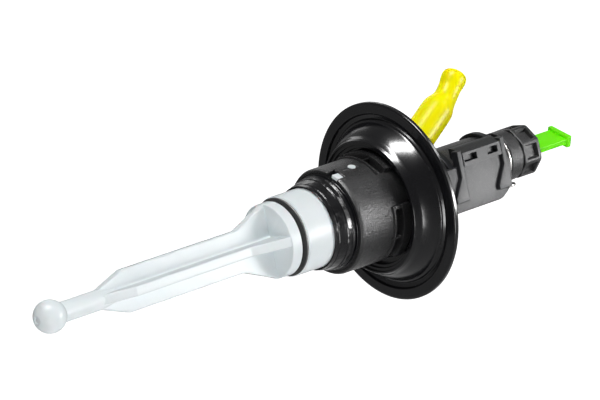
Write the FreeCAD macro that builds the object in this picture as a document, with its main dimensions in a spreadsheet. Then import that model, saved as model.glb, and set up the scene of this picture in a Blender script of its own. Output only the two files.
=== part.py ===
"""Clutch master cylinder with bayonet sleeve, quick connector and pedal pushrod.

All sizes are in millimetres. +X runs along the cylinder from the pedal to the outlet,
+Z points to the reservoir inlet and -Y is the side that carries the sensor rail. The
origin is the centre of the sealing rim, where the cylinder meets the bulkhead.
"""
import FreeCAD, Part
import Sketcher
import math
import os
from FreeCAD import Placement, Rotation, Vector

X_AXIS = Vector(1, 0, 0)
Y_AXIS = Vector(0, 1, 0)
Z_AXIS = Vector(0, 0, 1)
FULL_TURN = 360.0
NEAR = 1e-4
ROUND_CORNERS = 2
CORE_COUNT = 6
PORT_COUNT = 4
CUP_SLOT_COUNT = 6
FEED_HOLE_COUNT = 6
GUSSET_COUNT = 8
FACET_COUNT = 8

# Driving sizes. "along" values are places on the X axis, "_r" values are radii.
DRIVING = {
    # How far a cut or a root reaches past the face that it starts from
    "overlap": 1.0,
    # Bayonet sleeve that passes through the bulkhead
    "sleeve_r": 20.0,
    "sleeve_wall": 2.2,
    "sleeve_bevel": 0.9,
    "cap_seat_depth": 3.0,
    "cap_seat_step": 0.8,
    "sleeve_flange_r": 25.0,
    "sleeve_flange_front": 1.0,
    "backing_face": 3.5,
    # Bayonet lugs, each an arc with a slot, a thin lip and a bridge in front of it
    "lug_rear": -6.0,
    "lug_width": 4.0,
    "lug_height": 1.5,
    "lug_span": 64.0,
    "lug_slot_width": 2.6,
    "lug_slot_depth": 1.0,
    "lug_lip_width": 0.8,
    "lug_lip_height": 0.6,
    "lug_bridge_span": 2.6,
    "lug_top_turn": -17.0,
    "lug_top_bridge": 40.0,
    "lug_near_turn": 86.0,
    "lug_near_bridge": 35.0,
    "lug_far_turn": 216.0,
    "lug_far_bridge": 31.0,
    # Notch, peg hole and mark of the sleeve
    "notch_turn": 20.0,
    "notch_span": 17.0,
    "notch_depth": 3.5,
    "key_span": 9.0,
    "key_gap": 0.3,
    "key_side_gap": 0.8,
    "peg_along": -18.9,
    "peg_turn": 25.0,
    "peg_hole_r": 1.5,
    "peg_clearance": 0.05,
    "mark_along": -25.2,
    "mark_length": 3.6,
    "mark_span": 2.0,
    "mark_depth": 0.2,
    # Sealing disc pressed against the bulkhead
    "rim_r": 37.8,
    "rim_thick": 2.6,
    "rim_land": 4.2,
    "rim_groove_depth": 1.2,
    "rim_edge": 0.8,
    "band_outer_r": 30.4,
    "band_inner_r": 26.7,
    "hub_r": 26.0,
    "hub_front": -8.4,
    "hub_floor": -5.0,
    "hub_floor_r": 22.2,
    "hub_step": 0.8,
    "hub_step_r": 1.2,
    # Front cap with its wiping lip
    "cap_length": 9.1,
    "cap_lip_gap": 0.35,
    "cap_lip_wall": 0.45,
    "cap_lip_length": 2.0,
    "cap_relief": 0.35,
    "cap_cone_length": 5.0,
    "cap_shoulder_r": 17.3,
    "cap_bead_r": 17.75,
    "cap_bead_width": 1.4,
    "cap_web": 0.4,
    "cap_rim": 0.2,
    # Plunger
    "bore_r": 9.525,
    "stem_clearance": 0.04,
    "stroke": 24.0,
    "end_gap": 0.5,
    "stop_gap": 0.2,
    "skirt_r": 15.1,
    "skirt_length": 26.1,
    "skirt_chamfer": 0.4,
    "skirt_flange_r": 16.75,
    "skirt_flange_width": 1.8,
    "mouth_r": 12.6,
    "mouth_depth": 4.1,
    "pivot_depth": 12.3,
    "rod_head_r": 7.0,
    "ball_clearance": 0.05,
    "cup_wall": 2.15,
    "cup_clearance": 0.1,
    "spring_floor": -21.0,
    "spring_bore_r": 6.6,
    "nose_spigot_r": 7.7,
    "magnet_width": 3.5,
    "magnet_inset": 0.15,
    "keeper_width": 1.5,
    "relief_port_r": 0.7,
    "relief_port_turn": 45.0,
    "core_inner_r": 10.9,
    "core_outer_r": 13.0,
    "core_depth": 16.0,
    "core_span": 46.0,
    # Bumper ring, ball cup and its retainer in the plunger's mouth
    "bumper_thick": 1.0,
    "bumper_inner_r": 11.4,
    "bumper_inset": 0.1,
    "retainer_thick": 2.0,
    "retainer_bore_r": 6.4,
    "cup_front_reach": 5.2,
    "cup_face_gap": 0.5,
    "cup_slot_half": 0.6,
    "cup_slot_depth": 3.4,
    # Pushrod
    "rod_length": 117.9,
    "ball_r": 6.0,
    "ball_flat": 0.35,
    "ball_dimple_r": 1.3,
    "neck_r": 3.75,
    "neck_length": 21.4,
    "rib_slope": 11.1,
    "rib_flare": 14.0,
    "rib_half": 7.8,
    "rib_flare_half": 13.6,
    "rib_thick": 3.5,
    "rib_fillet": 0.9,
    "rod_core_r": 2.2,
    "collar_gap": 2.2,
    "collar_width": 4.7,
    "collar_r": 14.0,
    "collar_edge": 0.35,
    "stalk_r": 4.2,
    # Guide bush inside the sleeve
    "bush_land_width": 2.9,
    "bush_clearance": 0.08,
    # Seal stack
    "stack_front": 0.3,
    "stack_gap": 0.2,
    "guide_ring_width": 3.0,
    "seal_width": 3.8,
    "feed_ring_width": 6.8,
    "seal_cavity_r": 12.2,
    "seal_lip_gap": 0.3,
    "seal_lip_depth": 2.4,
    "seal_lip_wall": 0.8,
    "feed_hole_r": 1.3,
    "feed_rim": 1.2,
    "feed_channel_depth": 0.8,
    # Pressure body
    "back_flange_r": 33.0,
    "back_flange_thick": 2.4,
    "shoulder_r": 16.5,
    "shoulder_wall": 1.0,
    "shoulder_run": 1.8,
    "barrel_r": 12.8,
    "chamber_r": 10.2,
    "gusset_height": 14.0,
    "gusset_length": 9.6,
    "gusset_toe": 1.0,
    "gusset_thick": 1.8,
    "gusset_turn": 40.0,
    # Inlet nipple and its soft cap
    "inlet_along": 10.4,
    "inlet_sink": 1.6,
    "inlet_tilt": 33.6,
    "boss_r": 6.4,
    "boss_end": 12.6,
    "drilling_r": 1.2,
    "drilling_end": 9.0,
    "nipple_r": 4.3,
    "nipple_bore_r": 2.6,
    "nipple_end": 27.0,
    "barb_r": 4.9,
    "barb_start": 20.0,
    "barb_length": 3.2,
    "dust_cap_r": 6.25,
    "dust_cap_gap": 0.5,
    "dust_cap_shoulder": 29.6,
    "dust_cap_taper": 2.6,
    "dust_cap_bend": 34.2,
    "dust_cap_lean": 11.4,
    "dust_cap_tip_r": 4.45,
    "dust_cap_tip": 12.9,
    "dust_cap_bulb_r": 4.85,
    "dust_cap_bulb_length": 5.6,
    "dust_cap_round": 3.0,
    "dust_cap_bore_r": 5.2,
    "dust_cap_hollow_r": 3.0,
    # Sensor rail clipped to the barrel
    "rail_fit": 0.05,
    "rail_end_gap": 2.8,
    "rail_length": 29.3,
    "rail_plate_proud": 1.4,
    "rail_plate_thick": 3.0,
    "rail_plate_low": -10.6,
    "rail_plate_high": 6.2,
    "rail_corner_r": 6.0,
    "rail_bar_proud": 2.8,
    "rail_bar_gap": 1.4,
    "rail_bar_length": 19.8,
    "rail_bar_high": 11.0,
    "rail_roof_run": 5.4,
    "rail_roof_rise": 1.9,
    "rail_roof_back": 4.2,
    "rail_window_low": 7.6,
    "rail_window_high": 9.9,
    "rail_window_depth": 2.0,
    "front_window_place": 0.9,
    "front_window_width": 6.3,
    "rear_window_place": 12.8,
    "rear_window_width": 5.0,
    "arm_thick": 1.4,
    "arm_width": 2.6,
    "front_arm_place": 3.1,
    "front_arm_turn": 22.0,
    "rear_arm_turn": -32.0,
    "arm_end_turn": 134.0,
    "strip_proud": 2.5,
    "strip_thick": 2.5,
    "strip_width": 2.2,
    "strip_top": 8.6,
    "strip_flare": 4.6,
    "strip_flare_top": 2.2,
    "strip_toe": -4.0,
    "strip_toe_drop": 1.4,
    # Outlet head with its quick connector
    "outlet_rise": 2.0,
    "plunger_end_gap": 0.4,
    "end_spigot_length": 4.3,
    "end_spigot_clearance": 0.05,
    "end_groove_place": 1.2,
    "end_groove_width": 1.9,
    "end_groove_r": 8.5,
    "end_flange_width": 1.4,
    "neck_r_outer": 9.2,
    "neck_length_plain": 2.0,
    "neck_groove_width": 2.0,
    "neck_groove_r": 8.4,
    "head_collar_width": 5.6,
    "head_collar_r": 9.8,
    "head_waist_width": 1.0,
    "head_waist_r": 9.0,
    "head_length": 9.0,
    "head_half": 9.5,
    "head_chamfer": 1.0,
    "head_pocket_place": 1.4,
    "head_pocket_length": 5.6,
    "head_pocket_half": 2.8,
    "head_pocket_depth": 1.6,
    "socket_r": 6.05,
    "socket_depth": 12.5,
    "socket_chamfer": 0.8,
    "passage_r": 2.0,
    "socket_groove_place": 1.5,
    "socket_groove_width": 2.0,
    "socket_groove_r": 7.9,
    "socket_ring_gap": 0.15,
    # Wire clip
    "wire_r": 0.7,
    "clip_gap": 0.15,
    "clip_top_turn": 55.0,
    "clip_low_turn": -50.0,
    "clip_loop_length": 5.6,
    "clip_loop_drop": 1.3,
    "clip_loop_half": 4.2,
    # Transport plug
    "plug_turn": 23.7,
    "plug_clearance": 0.1,
    "plug_end_gap": 0.4,
    "plug_nose": 0.8,
    "plug_length": 8.5,
    "tab_half": 5.0,
    "tab_thick": 2.2,
    "tab_reach": 17.8,
    "bar_thick": 2.2,
    "bar_half_length": 5.6,
    "bar_height": 4.6,
    # Return spring
    "spring_wire_r": 0.8,
    "spring_mean_r": 5.4,
    "spring_turns": 12.0,
}

# Sizes that follow from the driving ones, written as sheet formulas.
DERIVED = {
    "skirt_rear": "stack_front - end_gap - stroke",
    "flange_front": "skirt_rear - skirt_flange_width",
    "skirt_front": "skirt_rear - skirt_length",
    "bush_land_rear": "flange_front - stop_gap",
    "bush_front": "bush_land_rear - bush_land_width",
    "sleeve_front": "bush_front - cap_web",
    "sleeve_bore_r": "sleeve_r - sleeve_wall",
    "cap_seat_r": "sleeve_bore_r + cap_seat_step",
    "cap_seat_rear": "sleeve_front + cap_seat_depth",
    "cap_front": "sleeve_front - cap_length",
    "cap_cone_rear": "cap_front + cap_cone_length",
    "cap_rim_rear": "sleeve_front + cap_rim",
    "cap_bead_front": "cap_rim_rear - cap_bead_width",
    "cap_lip_r": "skirt_r + cap_lip_gap",
    "lug_front": "lug_rear - lug_width",
    "lug_slot_front": "lug_front - lug_slot_width",
    "lug_lip_front": "lug_slot_front - lug_lip_width",
    "lug_bridge_front": "lug_lip_front - lug_lip_width",
    "lug_root_r": "(sleeve_bore_r + sleeve_r) / 2",
    "lug_top_r": "sleeve_r + lug_height",
    "notch_rear": "sleeve_front + notch_depth",
    "key_turn": "notch_turn + notch_span - key_span - key_side_gap",
    "rim_face_r": "rim_r - rim_land",
    "skirt_bore_r": "skirt_r + bush_clearance",
    "liner_r": "skirt_flange_r + bush_clearance",
    "stem_r": "bore_r - stem_clearance",
    "mouth_floor": "skirt_front + mouth_depth",
    "pivot_along": "skirt_front + pivot_depth",
    "cup_bore_r": "rod_head_r + ball_clearance",
    "cup_r": "cup_bore_r + cup_wall",
    "cup_seat_r": "cup_r + cup_clearance",
    "cup_front": "pivot_along - cup_front_reach",
    "retainer_front": "mouth_floor - retainer_thick",
    "retainer_nose": "cup_front - cup_face_gap",
    "guide_ring_rear": "stack_front + guide_ring_width",
    "lip_seal_front": "guide_ring_rear + stack_gap",
    "lip_seal_rear": "lip_seal_front + seal_width",
    "feed_front": "lip_seal_rear + stack_gap",
    "feed_rear": "feed_front + feed_ring_width",
    "feed_middle": "feed_front + feed_ring_width / 2",
    "main_seal_front": "feed_rear + stack_gap",
    "main_seal_rear": "main_seal_front + seal_width",
    "cavity_rear": "main_seal_rear + stack_gap",
    "seal_inner_r": "stem_r + seal_lip_gap",
    "nose_shoulder": "main_seal_rear",
    "magnet_rear": "nose_shoulder + magnet_width",
    "nose_along": "magnet_rear + keeper_width",
    "magnet_r": "stem_r - magnet_inset",
    "back_flange_rear": "backing_face + back_flange_thick",
    "gusset_rear": "back_flange_rear + gusset_length",
    "shoulder_rear": "cavity_rear + shoulder_wall",
    "cone_rear": "shoulder_rear + shoulder_run",
    "end_face": "nose_along + stroke + plunger_end_gap",
    "barrel_end": "end_face + end_spigot_length",
    "end_groove_front": "end_face + end_groove_place",
    "end_groove_rear": "end_groove_front + end_groove_width",
    "end_spigot_r": "chamber_r - end_spigot_clearance",
    "end_flange_rear": "barrel_end + end_flange_width",
    "neck_groove_front": "end_flange_rear + neck_length_plain",
    "neck_groove_rear": "neck_groove_front + neck_groove_width",
    "head_collar_rear": "neck_groove_rear + head_collar_width",
    "octagon_front": "head_collar_rear + head_waist_width",
    "head_end": "octagon_front + head_length",
    "head_corner": "head_half * tan(22.5 deg)",
    "socket_floor": "head_end - socket_depth",
    "socket_groove_front": "socket_floor + socket_groove_place",
    "socket_groove_rear": "socket_groove_front + socket_groove_width",
    "clip_along": "neck_groove_front + neck_groove_width / 2",
    "clip_r": "neck_groove_r + clip_gap + wire_r",
    "clip_loop_level": "outlet_rise - head_collar_r - clip_loop_drop",
    "plug_front": "socket_floor + plug_end_gap",
    "plug_rear": "plug_front + plug_length",
    "plug_r": "socket_r - plug_clearance",
    "tab_end": "head_end + tab_reach",
    "bar_end": "tab_end + bar_thick",
    "inlet_rise": "barrel_r - inlet_sink",
    "dust_cap_start": "boss_end + dust_cap_gap",
    "lean_along": "inlet_along + dust_cap_bend * cos(inlet_tilt * 1 deg)",
    "lean_rise": "inlet_rise + dust_cap_bend * sin(inlet_tilt * 1 deg)",
    "bulb_start": "dust_cap_tip - dust_cap_bulb_length",
    "rail_plate_face": "barrel_r + rail_plate_proud",
    "rail_bar_face": "barrel_r + rail_bar_proud",
    "rail_roof_end": "barrel_r - rail_roof_back",
    "arm_r": "barrel_r + arm_thick",
    "strip_face": "barrel_r + strip_proud",
    "rail_rear": "barrel_end - rail_end_gap",
    "rail_front": "rail_rear - rail_length",
    "bar_rear": "rail_rear - rail_bar_gap",
    "bar_front": "bar_rear - rail_bar_length",
    "front_arm": "rail_front + front_arm_place",
    "rear_arm": "rail_rear + strip_width - arm_width",
    "ball_along": "pivot_along - rod_length",
    "ball_tip": "ball_along - ball_r",
    "rib_start": "ball_along + neck_length",
    "rib_full": "rib_start + rib_slope",
    "collar_rear": "skirt_front - collar_gap",
    "collar_front": "collar_rear - collar_width",
    "flare_front": "collar_front - rib_flare",
}

doc = FreeCAD.newDocument("clutch_master_cylinder")
sheet = doc.addObject("Spreadsheet::Sheet", "Sizes")
nodes = []


def fill_sheet():
    """Write each size and its alias into one row of the sheet."""
    rows = list(DRIVING.items()) + [(alias, "=" + formula) for alias, formula in DERIVED.items()]
    for row, (alias, content) in enumerate(rows, start=1):
        sheet.set(f"A{row}", alias)
        sheet.set(f"B{row}", str(content))
        sheet.setAlias(f"B{row}", alias)
    doc.recompute()


def size(alias):
    """Read one size back from the sheet as a plain number."""
    value = sheet.get(alias)
    return float(getattr(value, "Value", value))


def words(text):
    """Split a sum of aliases and plain numbers into its words."""
    return text.replace("+", " + ").replace("-", " - ").split()


def number(text):
    """Work out a sum of aliases and plain numbers."""
    total, sign = 0.0, 1.0
    for word in words(text):
        if word in "+-":
            sign = 1.0 if word == "+" else -1.0
            continue
        total += sign * (float(word) if word[0].isdigit() else size(word))
    return total


def bound(text):
    """Turn a sum of aliases into an expression that reads the sheet."""
    return " ".join(w if w in "+-" or w[0].isdigit() else "Sizes." + w for w in words(text))


def bind(thing, prop, text):
    """Bind one length to a sum of sheet aliases."""
    thing.setExpression(prop, bound(text))


def bind_angle(thing, prop, text):
    """Bind one angle to a sum of sheet aliases, in degrees."""
    thing.setExpression(prop, f"({bound(text)}) * 1 deg")


def new_body(label):
    """Start one moulded or turned piece."""
    body = doc.addObject("PartDesign::Body", label)
    body.Label = label
    nodes.append(body)
    return body


def origin_of(body, role):
    """Find one of the body's own origin planes or axes."""
    return [item for item in body.Origin.OriginFeatures if item.Role == role][0]


def new_sketch(body, role="XZ_Plane", turn=None, shift=("0", "0", "0"), tilt=None):
    """Attach a sketch to an origin plane of its body.

    turn rolls the plane about its own x axis, tilt turns it about its normal, and
    shift moves it along its own x, y and normal. Each is a sum of sheet aliases.
    """
    sketch = body.newObject("Sketcher::SketchObject", body.Name + "_sketch")
    sketch.AttachmentSupport = [(origin_of(body, role), "")]
    sketch.MapMode = "FlatFace"
    axis, angle = (X_AXIS, turn) if turn else (Z_AXIS, tilt)
    place = Vector(*(number(item) for item in shift))
    sketch.AttachmentOffset = Placement(place, Rotation(axis, number(angle) if angle else 0.0))
    for letter, item in zip("xyz", shift):
        if item != "0":
            bind(sketch, f"AttachmentOffset.Base.{letter}", item)
    if angle:
        bind_angle(sketch, "AttachmentOffset.Rotation.Angle", angle)
    return sketch


def draw(sketch, corners):
    """Draw a closed outline whose corners are pairs of bound sums."""
    count = len(corners)
    points = [Vector(number(across), number(up), 0) for across, up in corners]
    for index in range(count):
        sketch.addGeometry(Part.LineSegment(points[index], points[(index + 1) % count]), False)
    for index in range(count):
        sketch.addConstraint(Sketcher.Constraint("Coincident", index, 2, (index + 1) % count, 1))
    for index, corner in enumerate(corners):
        for kind, value, text in zip(("DistanceX", "DistanceY"), points[index], corner):
            row = sketch.addConstraint(Sketcher.Constraint(kind, -1, 1, index, 1, value))
            bind(sketch, f"Constraints[{row}]", text)
    return sketch


def draw_circle(sketch, across, up, radius):
    """Draw a circle whose centre and radius are bound sums."""
    centre = Vector(number(across), number(up), 0)
    index = sketch.addGeometry(Part.Circle(centre, Z_AXIS, number(radius)), False)
    for kind, value, text in (("DistanceX", centre.x, across), ("DistanceY", centre.y, up)):
        row = sketch.addConstraint(Sketcher.Constraint(kind, -1, 1, index, 3, value))
        bind(sketch, f"Constraints[{row}]", text)
    row = sketch.addConstraint(Sketcher.Constraint("Radius", index, number(radius)))
    bind(sketch, f"Constraints[{row}]", radius)
    return sketch


def box_corners(left, right, low, high):
    """Corners of an upright rectangle."""
    return [(left, low), (right, low), (right, high), (left, high)]


def spin(body, sketch, cut=False, span=None):
    """Turn a sketch about its own x axis, as material or as a groove."""
    kind = "PartDesign::Groove" if cut else "PartDesign::Revolution"
    feature = body.newObject(kind, body.Name + "_turned")
    feature.Profile = sketch
    feature.ReferenceAxis = (sketch, ["H_Axis"])
    feature.Angle = number(span) if span else FULL_TURN
    if span:
        bind_angle(feature, "Angle", span)
    return feature


def extrude(body, sketch, length, cut=False, back=False, both=False):
    """Pad or pocket a sketch by a bound length."""
    kind = "PartDesign::Pocket" if cut else "PartDesign::Pad"
    feature = body.newObject(kind, body.Name + "_depth")
    feature.Profile = sketch
    feature.Length = number(length)
    bind(feature, "Length", length)
    feature.Reversed = back
    feature.Midplane = both
    return feature


def ball(body, radius, along, cut=False):
    """Add or remove a sphere centred on the X axis."""
    kind = "PartDesign::SubtractiveSphere" if cut else "PartDesign::AdditiveSphere"
    feature = body.newObject(kind, body.Name + "_ball")
    feature.Radius = number(radius)
    bind(feature, "Radius", radius)
    feature.AttachmentSupport = [(origin_of(body, "XY_Plane"), "")]
    feature.MapMode = "FlatFace"
    feature.AttachmentOffset = Placement(Vector(number(along), 0, 0), Rotation())
    bind(feature, "AttachmentOffset.Base.x", along)
    return feature


def repeat(body, feature, count, axis=None):
    """Repeat a feature evenly about the X axis, or about a sketch's x axis."""
    pattern = body.newObject("PartDesign::PolarPattern", body.Name + "_pattern")
    pattern.Originals = [feature]
    pattern.Axis = (axis, ["H_Axis"]) if axis else (origin_of(body, "X_Axis"), [""])
    pattern.Angle = FULL_TURN
    pattern.Occurrences = count
    body.Tip = pattern
    return pattern


def soften(body, radius, chosen):
    """Fillet the chosen edges of the body's last feature."""
    doc.recompute()
    base = body.Tip
    names = [f"Edge{i}" for i, edge in enumerate(base.Shape.Edges, start=1) if chosen(edge)]
    fillet = body.newObject("PartDesign::Fillet", body.Name + "_fillet")
    fillet.Base = (base, names)
    fillet.Radius = number(radius)
    bind(fillet, "Radius", radius)
    return fillet


def turned(label, corners):
    """One ring or shaft, turned from its half section."""
    body = new_body(label)
    spin(body, draw(new_sketch(body), corners))
    return body


def sector(body, corners, turn, span, cut=False):
    """Part of a ring: a half section swept over a span from a turn off +Z."""
    return spin(body, draw(new_sketch(body, turn=turn), corners), cut=cut, span=span)


def bored(body, corners):
    """Remove everything inside a half section turned about the X axis."""
    first, last = corners[0][0], corners[-1][0]
    return spin(body, draw(new_sketch(body), [(first, "0")] + corners + [(last, "0")]), cut=True)


def radial_hole(body, along, turn, radius, reach):
    """A round hole from the axis outwards."""
    sketch = draw_circle(new_sketch(body, "XY_Plane", turn=turn), along, "0", radius)
    return extrude(body, sketch, reach, cut=True, back=True)


def make_sleeve():
    """Bayonet sleeve with three lugs, cap seat, key notch and rear flange."""
    body = turned("bayonet_sleeve", [
        ("sleeve_front", "cap_seat_r"),
        ("sleeve_front", "sleeve_r - sleeve_bevel"),
        ("sleeve_front + sleeve_bevel", "sleeve_r"),
        ("sleeve_flange_front", "sleeve_r"),
        ("sleeve_flange_front", "sleeve_flange_r"),
        ("backing_face", "sleeve_flange_r"),
        ("backing_face", "sleeve_bore_r"),
        ("cap_seat_rear", "sleeve_bore_r"),
        ("cap_seat_rear", "cap_seat_r"),
    ])
    tab = box_corners("lug_front", "lug_rear", "lug_root_r", "lug_top_r")
    lip = box_corners("lug_lip_front", "lug_slot_front", "lug_root_r",
                      "sleeve_r + lug_lip_height")
    slot = box_corners("lug_slot_front", "lug_front", "sleeve_r - lug_slot_depth",
                       "lug_top_r + overlap")
    bridge = box_corners("lug_bridge_front", "lug_front", "lug_root_r",
                         "sleeve_r + lug_lip_height")
    for name in ("lug_top", "lug_near", "lug_far"):
        sector(body, tab, name + "_turn", "lug_span")
        sector(body, lip, name + "_turn", "lug_span")
        sector(body, slot, name + "_turn", "lug_span", cut=True)
        sector(body, bridge, f"{name}_turn + {name}_bridge", "lug_bridge_span")
    sector(body, box_corners("sleeve_front - overlap", "notch_rear", "sleeve_bore_r - overlap",
                             "sleeve_r + overlap"), "notch_turn", "notch_span", cut=True)
    radial_hole(body, "peg_along", "peg_turn", "peg_hole_r", "sleeve_r + overlap")
    sector(body, box_corners("mark_along", "mark_along + mark_length",
                             "sleeve_r - mark_depth", "sleeve_r + overlap"),
           "peg_turn + mark_span", "mark_span", cut=True)


def make_seal_disc():
    """Glossy sealing disc: stepped hub, domed band, groove and flat rim."""
    turned("bulkhead_seal", [
        ("hub_floor", "sleeve_r"),
        ("sleeve_flange_front", "sleeve_r"),
        ("sleeve_flange_front", "sleeve_flange_r"),
        ("backing_face", "sleeve_flange_r"),
        ("backing_face", "back_flange_r"),
        ("rim_thick", "back_flange_r + rim_edge"),
        ("rim_thick", "rim_r - rim_edge"),
        ("rim_thick - rim_edge", "rim_r"),
        ("rim_edge", "rim_r"),
        ("0", "rim_r - rim_edge"),
        ("0", "rim_face_r"),
        ("rim_groove_depth", "rim_face_r - rim_edge"),
        ("rim_groove_depth", "band_outer_r + rim_edge"),
        ("rim_groove_depth - rim_edge", "band_outer_r"),
        ("hub_floor", "band_inner_r"),
        ("hub_front + hub_step", "hub_r"),
        ("hub_front", "hub_r - hub_step"),
        ("hub_front", "hub_floor_r + hub_step_r + hub_step_r"),
        ("hub_front + hub_step", "hub_floor_r + hub_step_r + hub_step_r"),
        ("hub_front + hub_step", "hub_floor_r + hub_step_r"),
        ("hub_front + hub_step + hub_step", "hub_floor_r + hub_step_r"),
        ("hub_front + hub_step + hub_step", "hub_floor_r"),
        ("hub_floor", "hub_floor_r"),
    ])


def make_front_cap():
    """Conical cap that closes the sleeve's mouth and wipes the skirt."""
    body = turned("front_cap", [
        ("cap_front", "cap_lip_r"),
        ("cap_front", "cap_lip_r + cap_lip_wall"),
        ("cap_cone_rear", "cap_shoulder_r - cap_relief"),
        ("cap_cone_rear + cap_relief", "cap_shoulder_r"),
        ("cap_bead_front", "cap_shoulder_r"),
        ("cap_bead_front", "cap_bead_r"),
        ("cap_rim_rear", "cap_bead_r"),
        ("cap_rim_rear", "cap_seat_r"),
        ("cap_seat_rear", "cap_seat_r"),
        ("cap_seat_rear", "sleeve_bore_r"),
        ("bush_front", "sleeve_bore_r"),
        ("bush_front", "cap_lip_r + cap_relief"),
        ("cap_front + cap_lip_length + cap_relief", "cap_lip_r + cap_relief"),
        ("cap_front + cap_lip_length", "cap_lip_r"),
    ])
    sector(body, box_corners("bush_front", "cap_seat_rear + overlap", "sleeve_bore_r - overlap",
                             "cap_seat_r + overlap"), "notch_turn", "notch_span", cut=True)


def make_guide_bush():
    """Liner that guides the plunger's skirt, keyed and pegged to the sleeve."""
    body = turned("guide_bush", [
        ("bush_front", "skirt_bore_r"),
        ("bush_front", "sleeve_bore_r"),
        ("stack_front", "sleeve_bore_r"),
        ("stack_front", "liner_r"),
        ("bush_land_rear", "liner_r"),
        ("bush_land_rear", "skirt_bore_r"),
    ])
    sector(body, box_corners("bush_front", "notch_rear - key_gap", "liner_r",
                             "sleeve_r - key_gap"), "key_turn", "key_span")
    peg = draw_circle(new_sketch(body, "XY_Plane", turn="peg_turn"), "peg_along", "0",
                      "peg_hole_r - peg_clearance")
    extrude(body, peg, "sleeve_r")
    bored(body, [("bush_land_rear", "liner_r"), ("stack_front", "liner_r")])


def make_plunger():
    """Plunger: skirt with stop flange, ball seat, stem and magnet spigot."""
    body = turned("plunger", [
        ("skirt_front", "mouth_r"),
        ("skirt_front", "skirt_r - skirt_chamfer"),
        ("skirt_front + skirt_chamfer", "skirt_r"),
        ("flange_front", "skirt_r"),
        ("flange_front", "skirt_flange_r"),
        ("skirt_rear", "skirt_flange_r"),
        ("skirt_rear", "stem_r"),
        ("nose_shoulder", "stem_r"),
        ("nose_shoulder", "nose_spigot_r"),
        ("nose_along", "nose_spigot_r"),
        ("nose_along", "spring_bore_r"),
        ("spring_floor", "spring_bore_r"),
        ("spring_floor", "0"),
        ("pivot_along", "0"),
        ("pivot_along", "cup_seat_r"),
        ("mouth_floor", "cup_seat_r"),
        ("mouth_floor", "mouth_r"),
    ])
    ball(body, "cup_seat_r", "pivot_along", cut=True)
    core = sector(body, box_corners("skirt_rear - core_depth", "skirt_rear + overlap",
                                    "core_inner_r", "core_outer_r"),
                  "relief_port_turn", "core_span", cut=True)
    repeat(body, core, CORE_COUNT)
    port = radial_hole(body, "feed_middle", "relief_port_turn", "relief_port_r", "stem_r + overlap")
    repeat(body, port, PORT_COUNT)


def make_ball_cup():
    """Slotted cup that snaps over the pushrod's head and turns in the plunger."""
    body = new_body("ball_cup")
    ball(body, "cup_r", "pivot_along")
    ball(body, "cup_bore_r", "pivot_along", cut=True)
    bored(body, [("cup_front - cup_r", "cup_r + overlap"), ("cup_front", "cup_r + overlap")])
    slot = draw(new_sketch(body, "XY_Plane"), box_corners(
        "cup_front - overlap", "cup_front + cup_slot_depth", "0 - cup_slot_half", "cup_slot_half"))
    repeat(body, extrude(body, slot, "cup_r + overlap", cut=True, back=True), CUP_SLOT_COUNT)


def make_plunger_rings():
    """Retainer of the ball cup, bumper ring, magnet and its keeper."""
    turned("cup_retainer", [
        ("retainer_front", "retainer_bore_r"),
        ("retainer_front", "mouth_r"),
        ("mouth_floor", "mouth_r"),
        ("mouth_floor", "cup_seat_r"),
        ("retainer_nose", "cup_seat_r"),
        ("retainer_nose", "retainer_bore_r"),
    ])
    turned("bumper_ring", [
        ("skirt_front - bumper_thick", "bumper_inner_r"),
        ("skirt_front - bumper_thick", "skirt_r - bumper_inset"),
        ("skirt_front", "skirt_r - bumper_inset"),
        ("skirt_front", "mouth_r"),
        ("retainer_front", "mouth_r"),
        ("retainer_front", "bumper_inner_r"),
    ])
    turned("magnet_ring", box_corners("nose_shoulder", "magnet_rear", "nose_spigot_r",
                                      "magnet_r"))
    turned("magnet_keeper", box_corners("magnet_rear", "nose_along", "nose_spigot_r",
                                        "magnet_r"))


def make_pushrod():
    """Pushrod: pedal ball, crossed ribs, collar and rear ball in one moulding."""
    body = turned("pushrod", [
        ("ball_along", "0"),
        ("ball_along", "neck_r"),
        ("rib_start", "neck_r"),
        ("rib_full", "rod_core_r"),
        ("collar_front", "rod_core_r"),
        ("collar_front", "collar_r - collar_edge"),
        ("collar_front + collar_edge", "collar_r"),
        ("collar_rear - collar_edge", "collar_r"),
        ("collar_rear", "collar_r - collar_edge"),
        ("collar_rear", "stalk_r"),
        ("pivot_along", "stalk_r"),
        ("pivot_along", "0"),
    ])
    upper = [
        ("rib_start", "neck_r"),
        ("rib_full", "rib_half"),
        ("flare_front", "rib_half"),
        ("collar_front", "rib_flare_half"),
    ]
    lower = [(along, "0 - " + half) for along, half in reversed(upper)]
    for role in ("XZ_Plane", "XY_Plane"):
        extrude(body, draw(new_sketch(body, role), upper + lower), "rib_thick", both=True)
    half = size("rib_thick") / 2

    def inner_corner(edge):
        box = edge.BoundBox
        sides = [abs(abs(value) - half) for value in (box.YMin, box.YMax, box.ZMin, box.ZMax)]
        return max(sides) < NEAR and box.XLength > size("rib_half")

    soften(body, "rib_fillet", inner_corner)
    ball(body, "ball_r", "ball_along")
    ball(body, "rod_head_r", "pivot_along")
    for radius, depth in (("ball_r", "ball_flat"), ("ball_dimple_r", "ball_flat + ball_flat")):
        face = new_sketch(body, "YZ_Plane", shift=("0", "0", "ball_tip"))
        extrude(body, draw_circle(face, "0", "0", radius), depth, cut=True, back=True)


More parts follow.
